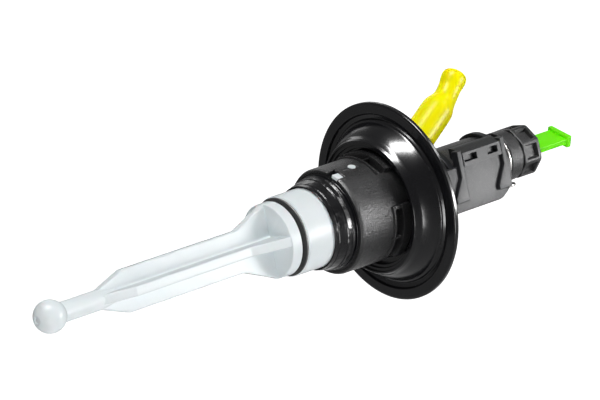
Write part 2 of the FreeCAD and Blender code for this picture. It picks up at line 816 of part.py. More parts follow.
def lip_seal(label, floor, mouth, into):
    """Lip seal: a rubber ring with a groove that spreads its inner lip.

    floor and mouth are its closed and open faces, and into is the sign that leads
    from the mouth back into the ring.
    """
    groove = f"{mouth} {into} seal_lip_depth"
    turned(label, [
        (floor, "seal_inner_r"),
        (floor, "seal_cavity_r"),
        (mouth, "seal_cavity_r"),
        (mouth, "seal_cavity_r - seal_lip_wall"),
        (groove, "seal_cavity_r - seal_lip_wall"),
        (groove, "seal_inner_r + seal_lip_wall"),
        (mouth, "seal_inner_r + seal_lip_wall"),
        (mouth, "seal_inner_r"),
    ])


def make_seal_stack():
    """Guide ring, secondary seal, feed ring with holes and primary seal."""
    turned("guide_ring", box_corners("stack_front", "guide_ring_rear", "bore_r",
                                     "seal_cavity_r"))
    lip_seal("secondary_seal", "lip_seal_front", "lip_seal_rear", "-")
    body = turned("feed_ring", [
        ("feed_front", "bore_r"),
        ("feed_rear", "bore_r"),
        ("feed_rear", "seal_cavity_r"),
        ("feed_rear - feed_rim", "seal_cavity_r"),
        ("feed_rear - feed_rim", "seal_cavity_r - feed_channel_depth"),
        ("feed_front + feed_rim", "seal_cavity_r - feed_channel_depth"),
        ("feed_front + feed_rim", "seal_cavity_r"),
        ("feed_front", "seal_cavity_r"),
    ])
    hole = radial_hole(body, "feed_middle", "gusset_turn", "feed_hole_r", "seal_cavity_r + overlap")
    repeat(body, hole, FEED_HOLE_COUNT)
    lip_seal("primary_seal", "main_seal_front", "main_seal_rear", "-")


def make_pressure_body():
    """Pressure body: spigot, backing flange with gussets, barrel and inlet nipple."""
    body = turned("pressure_body", [
        ("stack_front", "0"),
        ("stack_front", "sleeve_bore_r"),
        ("backing_face", "sleeve_bore_r"),
        ("backing_face", "back_flange_r"),
        ("back_flange_rear", "back_flange_r"),
        ("back_flange_rear", "shoulder_r"),
        ("shoulder_rear", "shoulder_r"),
        ("cone_rear", "barrel_r"),
        ("barrel_end", "barrel_r"),
        ("barrel_end", "0"),
    ])
    gusset = draw(new_sketch(body, turn="gusset_turn"), [
        ("back_flange_rear", "shoulder_r - overlap"),
        ("back_flange_rear", "shoulder_r + gusset_height"),
        ("back_flange_rear + gusset_toe", "shoulder_r + gusset_height"),
        ("gusset_rear", "shoulder_r"),
        ("gusset_rear", "shoulder_r - overlap"),
    ])
    fan = repeat(body, extrude(body, gusset, "gusset_thick", both=True), GUSSET_COUNT)
    bind_angle(fan, "Angle", "360 - gusset_turn - gusset_turn")
    inlet = {"tilt": "inlet_tilt", "shift": ("inlet_along", "inlet_rise", "0")}
    spin(body, draw(new_sketch(body, **inlet), [
        ("0", "0"),
        ("0", "boss_r"),
        ("boss_end", "boss_r"),
        ("boss_end", "nipple_r"),
        ("barb_start", "nipple_r"),
        ("barb_start", "barb_r"),
        ("barb_start + barb_length", "nipple_r"),
        ("nipple_end", "nipple_r"),
        ("nipple_end", "0"),
    ]))
    spin(body, draw(new_sketch(body, **inlet), [
        ("0", "0"),
        ("0", "drilling_r"),
        ("drilling_end", "drilling_r"),
        ("drilling_end", "nipple_bore_r"),
        ("nipple_end + overlap", "nipple_bore_r"),
        ("nipple_end + overlap", "0"),
    ]), cut=True)
    bored(body, [
        ("stack_front - overlap", "seal_cavity_r"),
        ("cavity_rear", "seal_cavity_r"),
        ("cavity_rear", "chamber_r"),
        ("barrel_end + overlap", "chamber_r"),
    ])


def make_dust_cap():
    """Soft cap over the inlet nipple, with a narrow tip that leans up a little."""
    body = new_body("inlet_cap")
    inlet = {"tilt": "inlet_tilt", "shift": ("inlet_along", "inlet_rise", "0")}
    spin(body, draw(new_sketch(body, **inlet), [
        ("dust_cap_start", "0"),
        ("dust_cap_start", "dust_cap_r"),
        ("dust_cap_shoulder", "dust_cap_r"),
        ("dust_cap_shoulder + dust_cap_taper", "dust_cap_tip_r"),
        ("dust_cap_bend", "dust_cap_tip_r"),
        ("dust_cap_bend", "0"),
    ]))
    lean = new_sketch(body, tilt="inlet_tilt + dust_cap_lean",
                      shift=("lean_along", "lean_rise", "0"))
    spin(body, draw(lean, [
        ("0 - dust_cap_round", "0"),
        ("0", "dust_cap_tip_r"),
        ("bulb_start - dust_cap_round", "dust_cap_tip_r"),
        ("bulb_start", "dust_cap_bulb_r"),
        ("dust_cap_tip - dust_cap_round", "dust_cap_bulb_r"),
        ("dust_cap_tip", "dust_cap_bulb_r - dust_cap_round"),
        ("dust_cap_tip", "0"),
    ]))
    doc.recompute()
    spin(body, draw(new_sketch(body, **inlet), [
        ("dust_cap_start - overlap", "0"),
        ("dust_cap_start - overlap", "dust_cap_bore_r"),
        ("nipple_end + dust_cap_gap", "dust_cap_bore_r"),
        ("dust_cap_shoulder", "dust_cap_hollow_r"),
        ("dust_cap_bend", "dust_cap_hollow_r"),
        ("dust_cap_bend", "0"),
    ]), cut=True)


def side_pad(body, face, depth, corners, cut=False):
    """Pad or pocket an outline drawn on a plane that faces the near side."""
    sketch = draw(new_sketch(body, shift=("0", "0", face)), corners)
    return extrude(body, sketch, depth, cut=cut, back=not cut)


def make_sensor_rail():
    """Rail for the travel sensor, held on the barrel by two curved arms."""
    body = new_body("sensor_rail")
    side_pad(body, "rail_plate_face", "rail_plate_thick", box_corners(
        "rail_front", "rail_rear", "rail_plate_low", "rail_plate_high"))

    def low_rear_corner(edge):
        box = edge.BoundBox
        along = box.XLength < NEAR and abs(box.XMin - size("rail_rear")) < NEAR
        return along and box.ZLength < NEAR and abs(box.ZMin - size("rail_plate_low")) < NEAR

    soften(body, "rail_corner_r", low_rear_corner)
    roof = new_sketch(body, "YZ_Plane", shift=("0", "0", "bar_front"))
    draw(roof, [
        ("0 - rail_bar_face", "rail_plate_high"),
        ("0 - rail_roof_end", "rail_plate_high"),
        ("0 - rail_roof_end", "rail_bar_high + rail_roof_rise"),
        ("0 - rail_bar_face + rail_roof_run", "rail_bar_high + rail_roof_rise"),
        ("0 - rail_bar_face", "rail_bar_high"),
    ])
    extrude(body, roof, "rail_bar_length")
    for name in ("front_window", "rear_window"):
        start = f"bar_front + {name}_place"
        side_pad(body, "rail_bar_face", "rail_window_depth", box_corners(
            start, f"{start} + {name}_width", "rail_window_low", "rail_window_high"), cut=True)
    for front in ("front_arm", "rear_arm"):
        turn = front + "_turn"
        sector(body, box_corners(front, front + " + arm_width", "barrel_r - overlap", "arm_r"),
               turn, "arm_end_turn - " + turn)
    for front, flare in (("front_arm", "0 - strip_width"), ("rear_arm", "strip_flare")):
        side_pad(body, "strip_face", "strip_thick", [
            (front, "strip_top"),
            (front, "strip_flare_top"),
            (f"{front} - {flare}", "strip_toe"),
            (f"{front} - {flare}", "strip_toe - strip_toe_drop"),
            (f"{front} + strip_width", "strip_toe - strip_toe_drop"),
            (f"{front} + strip_width", "strip_top"),
        ])
    bored(body, [
        ("rail_front - overlap", "shoulder_r + rail_fit"),
        ("shoulder_rear + rail_fit", "shoulder_r + rail_fit"),
        ("cone_rear + rail_fit", "barrel_r + rail_fit"),
        ("barrel_end", "barrel_r + rail_fit"),
    ])


def make_outlet_head():
    """Outlet head: end spigot, clip neck, collar and eight-sided connector."""
    body = turned("outlet_head", [
        ("end_face", "0"),
        ("end_face", "end_spigot_r"),
        ("end_groove_front", "end_spigot_r"),
        ("end_groove_front", "end_groove_r"),
        ("end_groove_rear", "end_groove_r"),
        ("end_groove_rear", "end_spigot_r"),
        ("barrel_end", "end_spigot_r"),
        ("barrel_end", "barrel_r"),
        ("end_flange_rear", "barrel_r"),
        ("end_flange_rear", "0"),
    ])
    raised = {"shift": ("0", "outlet_rise", "0")}
    neck = new_sketch(body, **raised)
    spin(body, draw(neck, [
        ("barrel_end", "0"),
        ("barrel_end", "neck_r_outer"),
        ("neck_groove_front", "neck_r_outer"),
        ("neck_groove_front", "neck_groove_r"),
        ("neck_groove_rear", "neck_groove_r"),
        ("neck_groove_rear", "head_collar_r"),
        ("head_collar_rear", "head_collar_r"),
        ("head_collar_rear", "head_waist_r"),
        ("octagon_front + overlap", "head_waist_r"),
        ("octagon_front + overlap", "0"),
    ]))
    head = new_sketch(body, "YZ_Plane", shift=("0", "outlet_rise", "octagon_front"))
    quarter = [("head_half", "head_corner"), ("head_corner", "head_half")]
    half = quarter + [("0 - " + across, up) for across, up in reversed(quarter)]
    draw(head, half + [(across, "0 - " + up) for across, up in reversed(half)])
    extrude(body, head, "head_length")

    def head_rim(edge):
        box = edge.BoundBox
        return box.XLength < NEAR and abs(box.XMin - size("head_end")) < NEAR

    soften(body, "head_chamfer", head_rim)
    start = "octagon_front + head_pocket_place"
    pocket = new_sketch(body, shift=("0", "outlet_rise", "head_half"))
    draw(pocket, box_corners(start, start + " + head_pocket_length",
                             "0 - head_pocket_half", "head_pocket_half"))
    repeat(body, extrude(body, pocket, "head_pocket_depth", cut=True), FACET_COUNT, axis=neck)
    spin(body, draw(new_sketch(body, **raised), [
        ("end_face - overlap", "0"),
        ("end_face - overlap", "passage_r"),
        ("socket_floor", "passage_r"),
        ("socket_floor", "socket_r"),
        ("socket_groove_front", "socket_r"),
        ("socket_groove_front", "socket_groove_r"),
        ("socket_groove_rear", "socket_groove_r"),
        ("socket_groove_rear", "socket_r"),
        ("head_end - socket_chamfer", "socket_r"),
        ("head_end", "socket_r + socket_chamfer"),
        ("head_end + overlap", "socket_r + socket_chamfer"),
        ("head_end + overlap", "0"),
    ]), cut=True)


def o_ring(label, front, rear, inner, outer, rise):
    """O-ring that fills a groove between an inner and an outer radius."""
    ring = doc.addObject("Part::Torus", label)
    ring.Label = label
    ring.setExpression("Radius1", f"({bound(inner)} + {bound(outer)}) / 2")
    ring.setExpression("Radius2", f"({bound(outer)} - ({bound(inner)})) / 2")
    ring.Placement = Placement(Vector(0, 0, 0), Rotation(Y_AXIS, 90))
    ring.setExpression("Placement.Base.x", f"({bound(front)} + {bound(rear)}) / 2")
    bind(ring, "Placement.Base.z", rise)
    nodes.append(ring)


def make_o_rings():
    """O-rings of the outlet head: one in the chamber's end, one in the socket."""
    o_ring("end_o_ring", "end_groove_front", "end_groove_rear", "end_groove_r",
           "chamber_r", "0")
    o_ring("socket_o_ring", "socket_groove_front", "socket_groove_rear",
           "socket_r + socket_ring_gap", "socket_groove_r", "outlet_rise")


def make_wire_clip():
    """Spring wire: two arcs round the neck, axial legs and a pull loop below."""
    along, reach, rise = size("clip_along"), size("clip_r"), size("outlet_rise")
    top = math.radians(size("clip_top_turn"))
    low = math.radians(size("clip_low_turn"))
    half, level = size("clip_loop_half"), size("clip_loop_level")
    swing = along + size("clip_loop_length")

    def on_neck(angle, side):
        return Vector(along, side * reach * math.cos(angle), rise + reach * math.sin(angle))

    near = Part.Arc(on_neck(top, -1), on_neck((top + low) / 2, -1), on_neck(low, -1))
    far = Part.Arc(on_neck(low, 1), on_neck((top + low) / 2, 1), on_neck(top, 1))
    stops = [on_neck(low, -1), Vector(along, -half, level), Vector(swing, -half, level),
             Vector(swing, half, level), Vector(along, half, level), on_neck(low, 1)]
    runs = [Part.makeLine(a, b) for a, b in zip(stops, stops[1:])]
    path = Part.Wire([near.toShape()] + runs + [far.toShape()])
    tangent = Vector(0, math.sin(top), math.cos(top))
    section = Part.Wire([Part.makeCircle(size("wire_r"), on_neck(top, -1), tangent)])
    clip = doc.addObject("Part::Feature", "wire_clip")
    clip.Label = "wire_clip"
    clip.Shape = path.makePipeShell([section], True, True, ROUND_CORNERS)
    clip.Placement = Placement()
    nodes.append(clip)


def make_plug():
    """Transport plug: round nose in the socket, flat pull tab and cross bar."""
    body = turned("transport_plug", [
        ("plug_front", "0"),
        ("plug_front", "plug_r - plug_nose"),
        ("plug_front + plug_nose", "plug_r"),
        ("plug_rear", "plug_r"),
        ("plug_rear", "0"),
    ])
    tab = draw(new_sketch(body, "XY_Plane"), box_corners(
        "plug_rear - overlap", "tab_end", "0 - tab_half", "tab_half"))
    extrude(body, tab, "tab_thick", both=True)
    bar = draw(new_sketch(body, "XY_Plane"), box_corners(
        "tab_end", "bar_end", "0 - bar_half_length", "bar_half_length"))
    extrude(body, bar, "bar_height", both=True)
    body.Placement = Placement(Vector(0, 0, 0), Rotation(X_AXIS, size("plug_turn")))
    bind(body, "Placement.Base.z", "outlet_rise")
    bind_angle(body, "Placement.Rotation.Angle", "plug_turn")


def make_spring():
    """Return spring between the plunger's floor and the outlet head."""
    wire_r, mean_r = size("spring_wire_r"), size("spring_mean_r")
    start = size("spring_floor") + wire_r
    length = size("end_face") - wire_r - start
    helix = Part.makeHelix(length / size("spring_turns"), length, mean_r)
    section = Part.Wire([Part.makeCircle(wire_r, Vector(mean_r, 0, 0), Y_AXIS)])
    spring = doc.addObject("Part::Feature", "return_spring")
    spring.Label = "return_spring"
    spring.Shape = Part.Wire(helix.Edges).makePipeShell([section], True, True)
    spring.Placement = Placement(Vector(start, 0, 0), Rotation(Y_AXIS, 90))
    nodes.append(spring)


def check(things):
    """Stop if any object failed or any piece is not one sound solid."""
    for thing in doc.Objects:
        bad = [word for word in thing.State if word in ("Invalid", "Error")]
        if bad:
            raise RuntimeError(f"{thing.Name} failed: {bad}")
    for thing in things:
        shape = thing.Shape
        if shape.isNull() or not shape.isValid() or len(shape.Solids) != 1:
            raise RuntimeError(f"{thing.Label} is not one sound solid")
        print(f"{thing.Label}: {shape.Volume:.1f} mm3, {len(shape.Faces)} faces")


fill_sheet()
make_sleeve()
make_seal_disc()
make_front_cap()
make_guide_bush()
make_plunger()
make_ball_cup()
make_plunger_rings()
make_pushrod()
make_seal_stack()
make_pressure_body()
make_dust_cap()
make_sensor_rail()
make_outlet_head()
make_o_rings()
make_wire_clip()
make_plug()
make_spring()
doc.recompute()
check(nodes)
os.makedirs("parts", exist_ok=True)
for node in nodes:
    node.Shape.exportStep(os.path.join("parts", node.Label + ".step"))
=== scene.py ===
"""Looks of a clutch master cylinder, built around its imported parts.

Sizes are in millimetres along the cylinder's axis and are turned into metres when a piece is
made. X runs from the pedal ball to the outlet. A turn is an angle about the axis, in degrees from
the top towards the near side.
"""
import logging
import math
from dataclasses import dataclass, field
from enum import Enum

import bpy
import numpy as np
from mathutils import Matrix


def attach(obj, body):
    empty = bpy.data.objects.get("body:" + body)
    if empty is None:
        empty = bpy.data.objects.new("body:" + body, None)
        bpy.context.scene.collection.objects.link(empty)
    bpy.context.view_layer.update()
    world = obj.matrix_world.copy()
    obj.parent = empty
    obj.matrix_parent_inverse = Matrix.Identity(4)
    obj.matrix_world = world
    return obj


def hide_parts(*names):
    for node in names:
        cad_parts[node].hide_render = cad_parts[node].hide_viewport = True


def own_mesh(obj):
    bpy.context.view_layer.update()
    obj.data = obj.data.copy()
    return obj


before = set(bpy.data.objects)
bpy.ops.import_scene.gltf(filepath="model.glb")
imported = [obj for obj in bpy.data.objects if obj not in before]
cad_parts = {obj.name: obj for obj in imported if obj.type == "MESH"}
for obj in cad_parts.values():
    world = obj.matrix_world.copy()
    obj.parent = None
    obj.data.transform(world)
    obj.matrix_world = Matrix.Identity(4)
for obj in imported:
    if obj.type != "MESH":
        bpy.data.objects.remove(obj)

LOG = logging.getLogger("master_cylinder")
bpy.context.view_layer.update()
MM = 0.001
HALF_TURN = math.pi
FULL_TURN = 2.0 * math.pi
SHARP_ANGLE = math.radians(38.0)
TINY = 1e-6

Grid = np.ndarray
Pair = tuple[float, float]
Triple = tuple[float, float, float]


class Body(str, Enum):
    """Moving bodies of the cylinder."""

    HOUSING = "housing"
    PISTON = "piston"
    CUP = "cup"
    ROD = "rod"
    PLUG = "plug"
    CAP = "cap"


class End(Enum):
    """How an open side of a grid of points is closed."""

    POLE = "pole"
    FLAT = "flat"


@dataclass
class Shell:
    """Closed surface: its points, and its faces as arrays of point numbers."""

    points: Grid
    faces: list[Grid]

    def volume(self) -> float:
        """Signed volume, above zero where the faces point outwards."""
        total = 0.0
        for group in self.faces:
            first = self.points[group[:, 0]]
            for at in range(1, group.shape[1] - 1):
                cross = np.cross(self.points[group[:, at]], self.points[group[:, at + 1]])
                total += float((first * cross).sum())
        return total

    def outward(self) -> "Shell":
        """The same surface with every face pointing outwards."""
        if self.volume() < 0.0:
            self.faces = [group[:, ::-1] for group in self.faces]
        return self

    def placed(self, axes: Grid, shift: Triple = (0.0, 0.0, 0.0)) -> "Shell":
        """The surface carried to new axes.

        Args:
            axes: rows that the three coordinates are measured along.
            shift: place of the old origin.

        Returns:
            The carried surface, facing outwards.
        """
        return Shell(self.points @ np.asarray(axes, float) + np.asarray(shift, float),
                     self.faces).outward()

    def turned(self, turn: float) -> "Shell":
        """The surface turned about the axis, from the top towards the near side."""
        angle = math.radians(turn)
        axes = np.array([
            [1.0, 0.0, 0.0],
            [0.0, math.cos(angle), math.sin(angle)],
            [0.0, -math.sin(angle), math.cos(angle)],
        ])
        return self.placed(axes)


def joined(shells: list[Shell]) -> Shell:
    """Several surfaces as one piece."""
    starts = np.cumsum([0] + [len(shell.points) for shell in shells])
    faces = [group + start for shell, start in zip(shells, starts) for group in shell.faces]
    return Shell(np.vstack([shell.points for shell in shells]), faces)


def rounded(corners: Grid, radii: Grid, closed: bool = True, steps: int = 5,
            guard: float = 0.25) -> Grid:
    """Line that follows an outline and turns each corner on a circular arc.

    The arc from A to B about corner C is the rational curve
    ((1-s)^2 A + 2w s(1-s) C + s^2 B) / ((1-s)^2 + 2w s(1-s) + s^2), with w the sine of half the
    inner angle. A guard point beyond each end of an arc keeps the flats next to it flat.

    Args:
        corners: outline's corners, in two or three coordinates.
        radii: arc radius of all corners or of each, 0 for a sharp one.
        closed: whether the last corner joins the first.
        steps: pieces of each arc.
        guard: greatest distance of a guard point from its arc.

    Returns:
        The points of the line.
    """
    points = np.asarray(corners, float)
    radius = np.broadcast_to(np.asarray(radii, float), (len(points),)).copy()
    if not closed:
        radius[0] = radius[-1] = 0.0
    back = np.roll(points, 1, axis=0) - points
    ahead = np.roll(points, -1, axis=0) - points
    shortest = np.minimum(np.linalg.norm(back, axis=1), np.linalg.norm(ahead, axis=1))
    back /= np.maximum(np.linalg.norm(back, axis=1), TINY)[:, None]
    ahead /= np.maximum(np.linalg.norm(ahead, axis=1), TINY)[:, None]
    half = np.arccos(np.clip((back * ahead).sum(1), -1.0, 1.0)) / 2.0
    reach = np.minimum(radius / np.maximum(np.tan(half), TINY), 0.45 * shortest)
    spare = np.minimum(guard, 0.5 * (0.48 * shortest - reach))
    way = np.linspace(0.0, 1.0, steps + 1)[None, :, None]
    weight = np.sin(half)[:, None, None]
    start = (points + back * reach[:, None])[:, None, :]
    stop = (points + ahead * reach[:, None])[:, None, :]
    middle = 2.0 * weight * way * (1.0 - way)
    below = (1.0 - way) ** 2 + middle + way ** 2
    arcs = ((1.0 - way) ** 2 * start + middle * points[:, None, :] + way ** 2 * stop) / below
    before = (points + back * (reach + spare)[:, None])[:, None, :]
    after = (points + ahead * (reach + spare)[:, None])[:, None, :]
    line = np.concatenate([before, arcs, after], axis=1)
    keep = np.broadcast_to((radius > TINY)[:, None], line.shape[:2]).copy()
    keep[:, 1] = True
    return line[keep]


def ramp(values: Grid, edge: float, width: float) -> Grid:
    """Smooth rise from 0 to 1 over a width centred on an edge: 3s^2 - 2s^3."""
    share = np.clip((values - edge) / width + 0.5, 0.0, 1.0)
    return share * share * (3.0 - 2.0 * share)


def band(values: Grid, low: float, high: float, width: float) -> Grid:
    """1 between two edges and 0 outside, with a smooth rise and fall."""
    return ramp(values, low, width) * (1.0 - ramp(values, high, width))


def lines(low: float, high: float, edges: list[float], width: float, pitch: float) -> Grid:
    """Places of grid lines: even ones, and closer ones across each edge.

    Args:
        low: first line.
        high: last line.
        edges: places where the surface steps.
        width: width of a step.
        pitch: distance between even lines.

    Returns:
        The places, rising, with no two nearer than a tenth of a step.
    """
    even = np.arange(low, high, pitch)
    close = (np.asarray(edges, float)[:, None] + width * np.linspace(-0.75, 0.75, 7)).ravel()
    places = np.concatenate([even, close, [low, high]])
    places = np.unique(places[(places >= low) & (places <= high)])
    gaps = np.append(np.diff(places), width)
    return places[gaps > 0.1 * width]


def skin(grid: Grid, wrap_rows: bool = False, ends: End = End.POLE) -> Shell:
    """Surface over a grid of points whose columns run round and join.

    Args:
        grid: points by row and column.
        wrap_rows: whether the last row joins the first.
        ends: how the first and last rows are closed where they don't join.

    Returns:
        The closed surface, facing outwards.
    """
    rows, cols = grid.shape[:2]
    number = np.arange(rows * cols).reshape(rows, cols)
    if wrap_rows:
        number = np.vstack([number, number[:1]])
    a, b = number[:-1], number[1:]
    quads = np.stack([a, b, np.roll(b, -1, 1), np.roll(a, -1, 1)], axis=-1).reshape(-1, 4)
    points = grid.reshape(-1, 3)
    faces = [quads]
    if not wrap_rows and ends is End.FLAT:
        faces += [number[:1], number[-1:, ::-1]]
    if not wrap_rows and ends is End.POLE:
        poles = np.array([grid[0].mean(0), grid[-1].mean(0)])
        points = np.vstack([points, poles])
        first, last = number[0], number[-1]
        faces.append(np.stack([first, np.roll(first, -1), np.full(cols, rows * cols)], axis=1))
        faces.append(np.stack([np.roll(last, -1), last, np.full(cols, rows * cols + 1)], axis=1))
    return Shell(points, faces).outward()


def about_axis(along: Grid, radius: Grid, turns: Grid) -> Grid:
    """Points at a place along the axis, a radius and a turn: (x, -r sin t, r cos t)."""
    along, radius, turns = np.broadcast_arrays(along, radius, np.radians(turns))
    return np.stack([along, -radius * np.sin(turns), radius * np.cos(turns)], axis=-1)


def even_turns(count: int) -> Grid:
    """Evenly spaced turns that go once round."""
    return np.arange(count) * (360.0 / count)


def lathe(profile: Grid, count: int = 192, wrap: bool = True) -> Shell:
    """Surface of revolution.

    A profile that starts and ends on the axis has those two points closed as poles.

    Args:
        profile: points as place along the axis and radius.
        count: columns round the axis.
        wrap: whether the profile is a closed line.

    Returns:
        The turned surface.
    """
    line = np.asarray(profile, float)
    if not wrap:
        line = line[1:-1]
    grid = about_axis(line[:, :1], line[:, 1:], even_turns(count)[None, :])
    shell = skin(grid, wrap_rows=wrap)
    if not wrap:
        shell.points[-2:] = [[profile[0][0], 0.0, 0.0], [profile[-1][0], 0.0, 0.0]]
    return shell


def prism(outline: Grid, low: float, high: float, fillet: float, steps: int = 4) -> Shell:
    """Plate of any outline with rounded edges.

    Each layer is the outline moved inwards by f - f sin(a) at height f - f cos(a), with a going
    from 0 to a quarter turn, and the same from the other side.

    Args:
        outline: closed line of points in two coordinates, its corners already rounded.
        low: one face.
        high: the other face.
        fillet: radius of the edges.
        steps: pieces of each rounded edge.

    Returns:
        The plate, with the outline in its first two coordinates.
    """
    line = np.asarray(outline, float)
    along = np.roll(line, -1, axis=0) - np.roll(line, 1, axis=0)
    along /= np.maximum(np.linalg.norm(along, axis=1), TINY)[:, None]
    area = (line[:, 0] * np.roll(line[:, 1], -1) - line[:, 1] * np.roll(line[:, 0], -1)).sum()
    inward = np.stack([-along[:, 1], along[:, 0]], axis=1) * np.sign(area)
    angle = np.linspace(0.0, FULL_TURN / 4.0, steps + 1)
    inset = fillet - fillet * np.sin(angle)
    rise = fillet - fillet * np.cos(angle)
    inset = np.concatenate([inset, inset[::-1]])
    height = np.concatenate([low + rise, high - rise[::-1]])
    flat = line[None, :, :] + inward[None, :, :] * inset[:, None, None]
    tall = np.broadcast_to(height[:, None, None], flat.shape[:2] + (1,))
    return skin(np.concatenate([flat, tall], axis=2), ends=End.FLAT)


def sweep(path: Grid, radii: Grid, count: int = 24) -> Shell:
    """Round bar along a path.

    Each section stands square to the path. Its first arm is the one before it, less its part
    along the path, so the bar doesn't twist.

    Args:
        path: points of the centre line.
        radii: radius at each point or at all.
        count: columns round the bar.

    Returns:
        The bar, closed by a pole at each end.
    """
    ahead = np.gradient(path, axis=0)
    ahead /= np.linalg.norm(ahead, axis=1)[:, None]
    arm = np.cross(ahead[0], [0.31, 0.22, 0.93])
    arms = []
    for direction in ahead:
        arm = arm - direction * (arm @ direction)
        arm = arm / np.linalg.norm(arm)
        arms.append(arm)
    first = np.array(arms)
    second = np.cross(ahead, first)
    angle = np.radians(even_turns(count))[None, :, None]
    radius = np.broadcast_to(np.asarray(radii, float), (len(path),))[:, None, None]
    ring = np.cos(angle) * first[:, None, :] + np.sin(angle) * second[:, None, :]
    return skin(path[:, None, :] + radius * ring)


def relief(across: Grid, up: Grid, height: Grid, floor: float) -> Shell:
    """Block whose face is a height over a grid, closed by a flat back.

    Args:
        across: places of the columns.
        up: places of the rows.
        height: height of the face by row and column.
        floor: height of the back.

    Returns:
        The block, with the grid in its first two coordinates.
    """
    rows, cols = height.shape
    wide, tall = np.meshgrid(across, up)
    face = np.stack([wide, tall, height], axis=-1).reshape(-1, 3)
    number = np.arange(rows * cols).reshape(rows, cols)
    rim = np.concatenate([number[0], number[1:, -1], number[-1, -2::-1], number[-2:0:-1, 0]])
    under = face[rim].copy()
    under[:, 2] = floor
    low = rows * cols + np.arange(len(rim))
    quads = np.stack([number[:-1, :-1], number[:-1, 1:], number[1:, 1:], number[1:, :-1]],
                     axis=-1).reshape(-1, 4)
    walls = np.stack([rim, low, np.roll(low, -1), np.roll(rim, -1)], axis=-1)
    return Shell(np.vstack([face, under]), [quads, walls, low[None, :]]).outward()


def edge_fall(values: Grid, low: float, high: float, radius: float) -> Grid:
    """Fall of a face near its two ends: r - sqrt(r^2 - (r-d)^2) at distance d from the end."""
    distance = np.minimum(np.minimum(values - low, high - values), radius)
    return radius - np.sqrt(np.maximum(radius ** 2 - (radius - distance) ** 2, 0.0))


class Tree:
    """Node tree of a material or a group, with short ways to add and join nodes."""

    def __init__(self, tree: bpy.types.NodeTree) -> None:
        """Takes over an empty node tree."""
        self.tree = tree

    def add(self, kind: str, settings: dict | None = None, **inputs: object) -> bpy.types.Node:
        """Adds a node.

        Args:
            kind: node's type.
            settings: its properties.
            **inputs: its sockets by name, with _ for a space, each a value or another socket.

        Returns:
            The new node.
        """
        node = self.tree.nodes.new(kind)
        for name, value in (settings or {}).items():
            setattr(node, name, value)
        for name, value in inputs.items():
            self.feed(node.inputs[name.replace("_", " ")], value)
        return node

    def feed(self, socket: bpy.types.NodeSocket, value: object) -> None:
        """Gives a socket a value, or joins another socket to it."""
        if isinstance(value, bpy.types.NodeSocket):
            self.tree.links.new(value, socket)
        else:
            socket.default_value = value

    def sums(self, kind: str, first: object, second: object = 0.0,
             third: object = 0.0) -> bpy.types.NodeSocket:
        """A Math node's result, held between 0 and 1 for kinds that end in +."""
        node = self.tree.nodes.new("ShaderNodeMath")
        node.operation = kind.rstrip("+")
        node.use_clamp = kind.endswith("+")
        for socket, value in zip(node.inputs, (first, second, third)):
            self.feed(socket, value)
        return node.outputs[0]

    def noise(self, where: bpy.types.NodeSocket, scale: object, detail: float = 2.0,
              kind: str = "FBM") -> bpy.types.NodeSocket:
        """A noise texture's value at a place."""
        node = self.add("ShaderNodeTexNoise", {"noise_type": kind}, Vector=where, Scale=scale,
                        Detail=detail)
        return node.outputs[0]


def group_of(name: str, inputs: dict[str, float], outputs: list[str]) -> tuple[Tree, dict, dict]:
    """Makes an empty shader node group.

    Args:
        name: group's name.
        inputs: its inputs and their usual values.
        outputs: its outputs.

    Returns:
        Its tree, the inside sockets of its inputs, and those of its outputs.
    """
    made = bpy.data.node_groups.new(name, "ShaderNodeTree")
    for label, value in inputs.items():
        socket = made.interface.new_socket(label, in_out="INPUT", socket_type="NodeSocketFloat")
        socket.default_value = value
    for label in outputs:
        made.interface.new_socket(label, in_out="OUTPUT", socket_type="NodeSocketFloat")
    entry = made.nodes.new("NodeGroupInput")
    leave = made.nodes.new("NodeGroupOutput")
    given = {label: entry.outputs[label] for label in inputs}
    wanted = {label: leave.inputs[label] for label in outputs}
    return Tree(made), given, wanted


def make_grain_group() -> bpy.types.NodeTree:
    """Spark-eroded mould grain: its height, and its specks, which a finish polishes and lifts as
    painted glints.

    Height is the sum of a fine and a coarse noise, and the specks are where the fine noise peaks.
    """
    tree, given, wanted = group_of("mould_grain", {"Grains": 2500.0, "Uneven": 0.5},
                                   ["Height", "Speck"])
    where = tree.add("ShaderNodeTexCoord").outputs["Object"]
    fine = tree.noise(where, given["Grains"], 3.0)
    coarse = tree.noise(where, tree.sums("MULTIPLY", given["Grains"], 0.33), 1.0)
    mixed = tree.sums("MULTIPLY_ADD", coarse, given["Uneven"], fine)
    tree.feed(wanted["Height"], mixed)
    tree.feed(wanted["Speck"], tree.sums("MULTIPLY_ADD+", tree.sums("SUBTRACT", fine, 0.52), 7.0))
    return tree.tree


def make_tone_group() -> bpy.types.NodeTree:
    """Slow change over a surface, such as flow in a moulding: cloudy, drawn out along X."""
    tree, given, wanted = group_of("slow_tone", {"Patches": 60.0, "Drawn": 0.35}, ["Tone"])
    where = tree.add("ShaderNodeTexCoord").outputs["Object"]
    stretch = tree.add("ShaderNodeCombineXYZ", X=given["Drawn"], Y=1.0, Z=1.0)
    drawn = tree.add("ShaderNodeVectorMath", {"operation": "MULTIPLY"})
    tree.feed(drawn.inputs[0], where)
    tree.feed(drawn.inputs[1], stretch.outputs[0])
    cloud = tree.noise(drawn.outputs[0], given["Patches"], 4.0)
    spread = tree.sums("SUBTRACT", cloud, 0.5)
    tree.feed(wanted["Tone"], tree.sums("MULTIPLY_ADD+", spread, 2.4, 0.5))
    return tree.tree


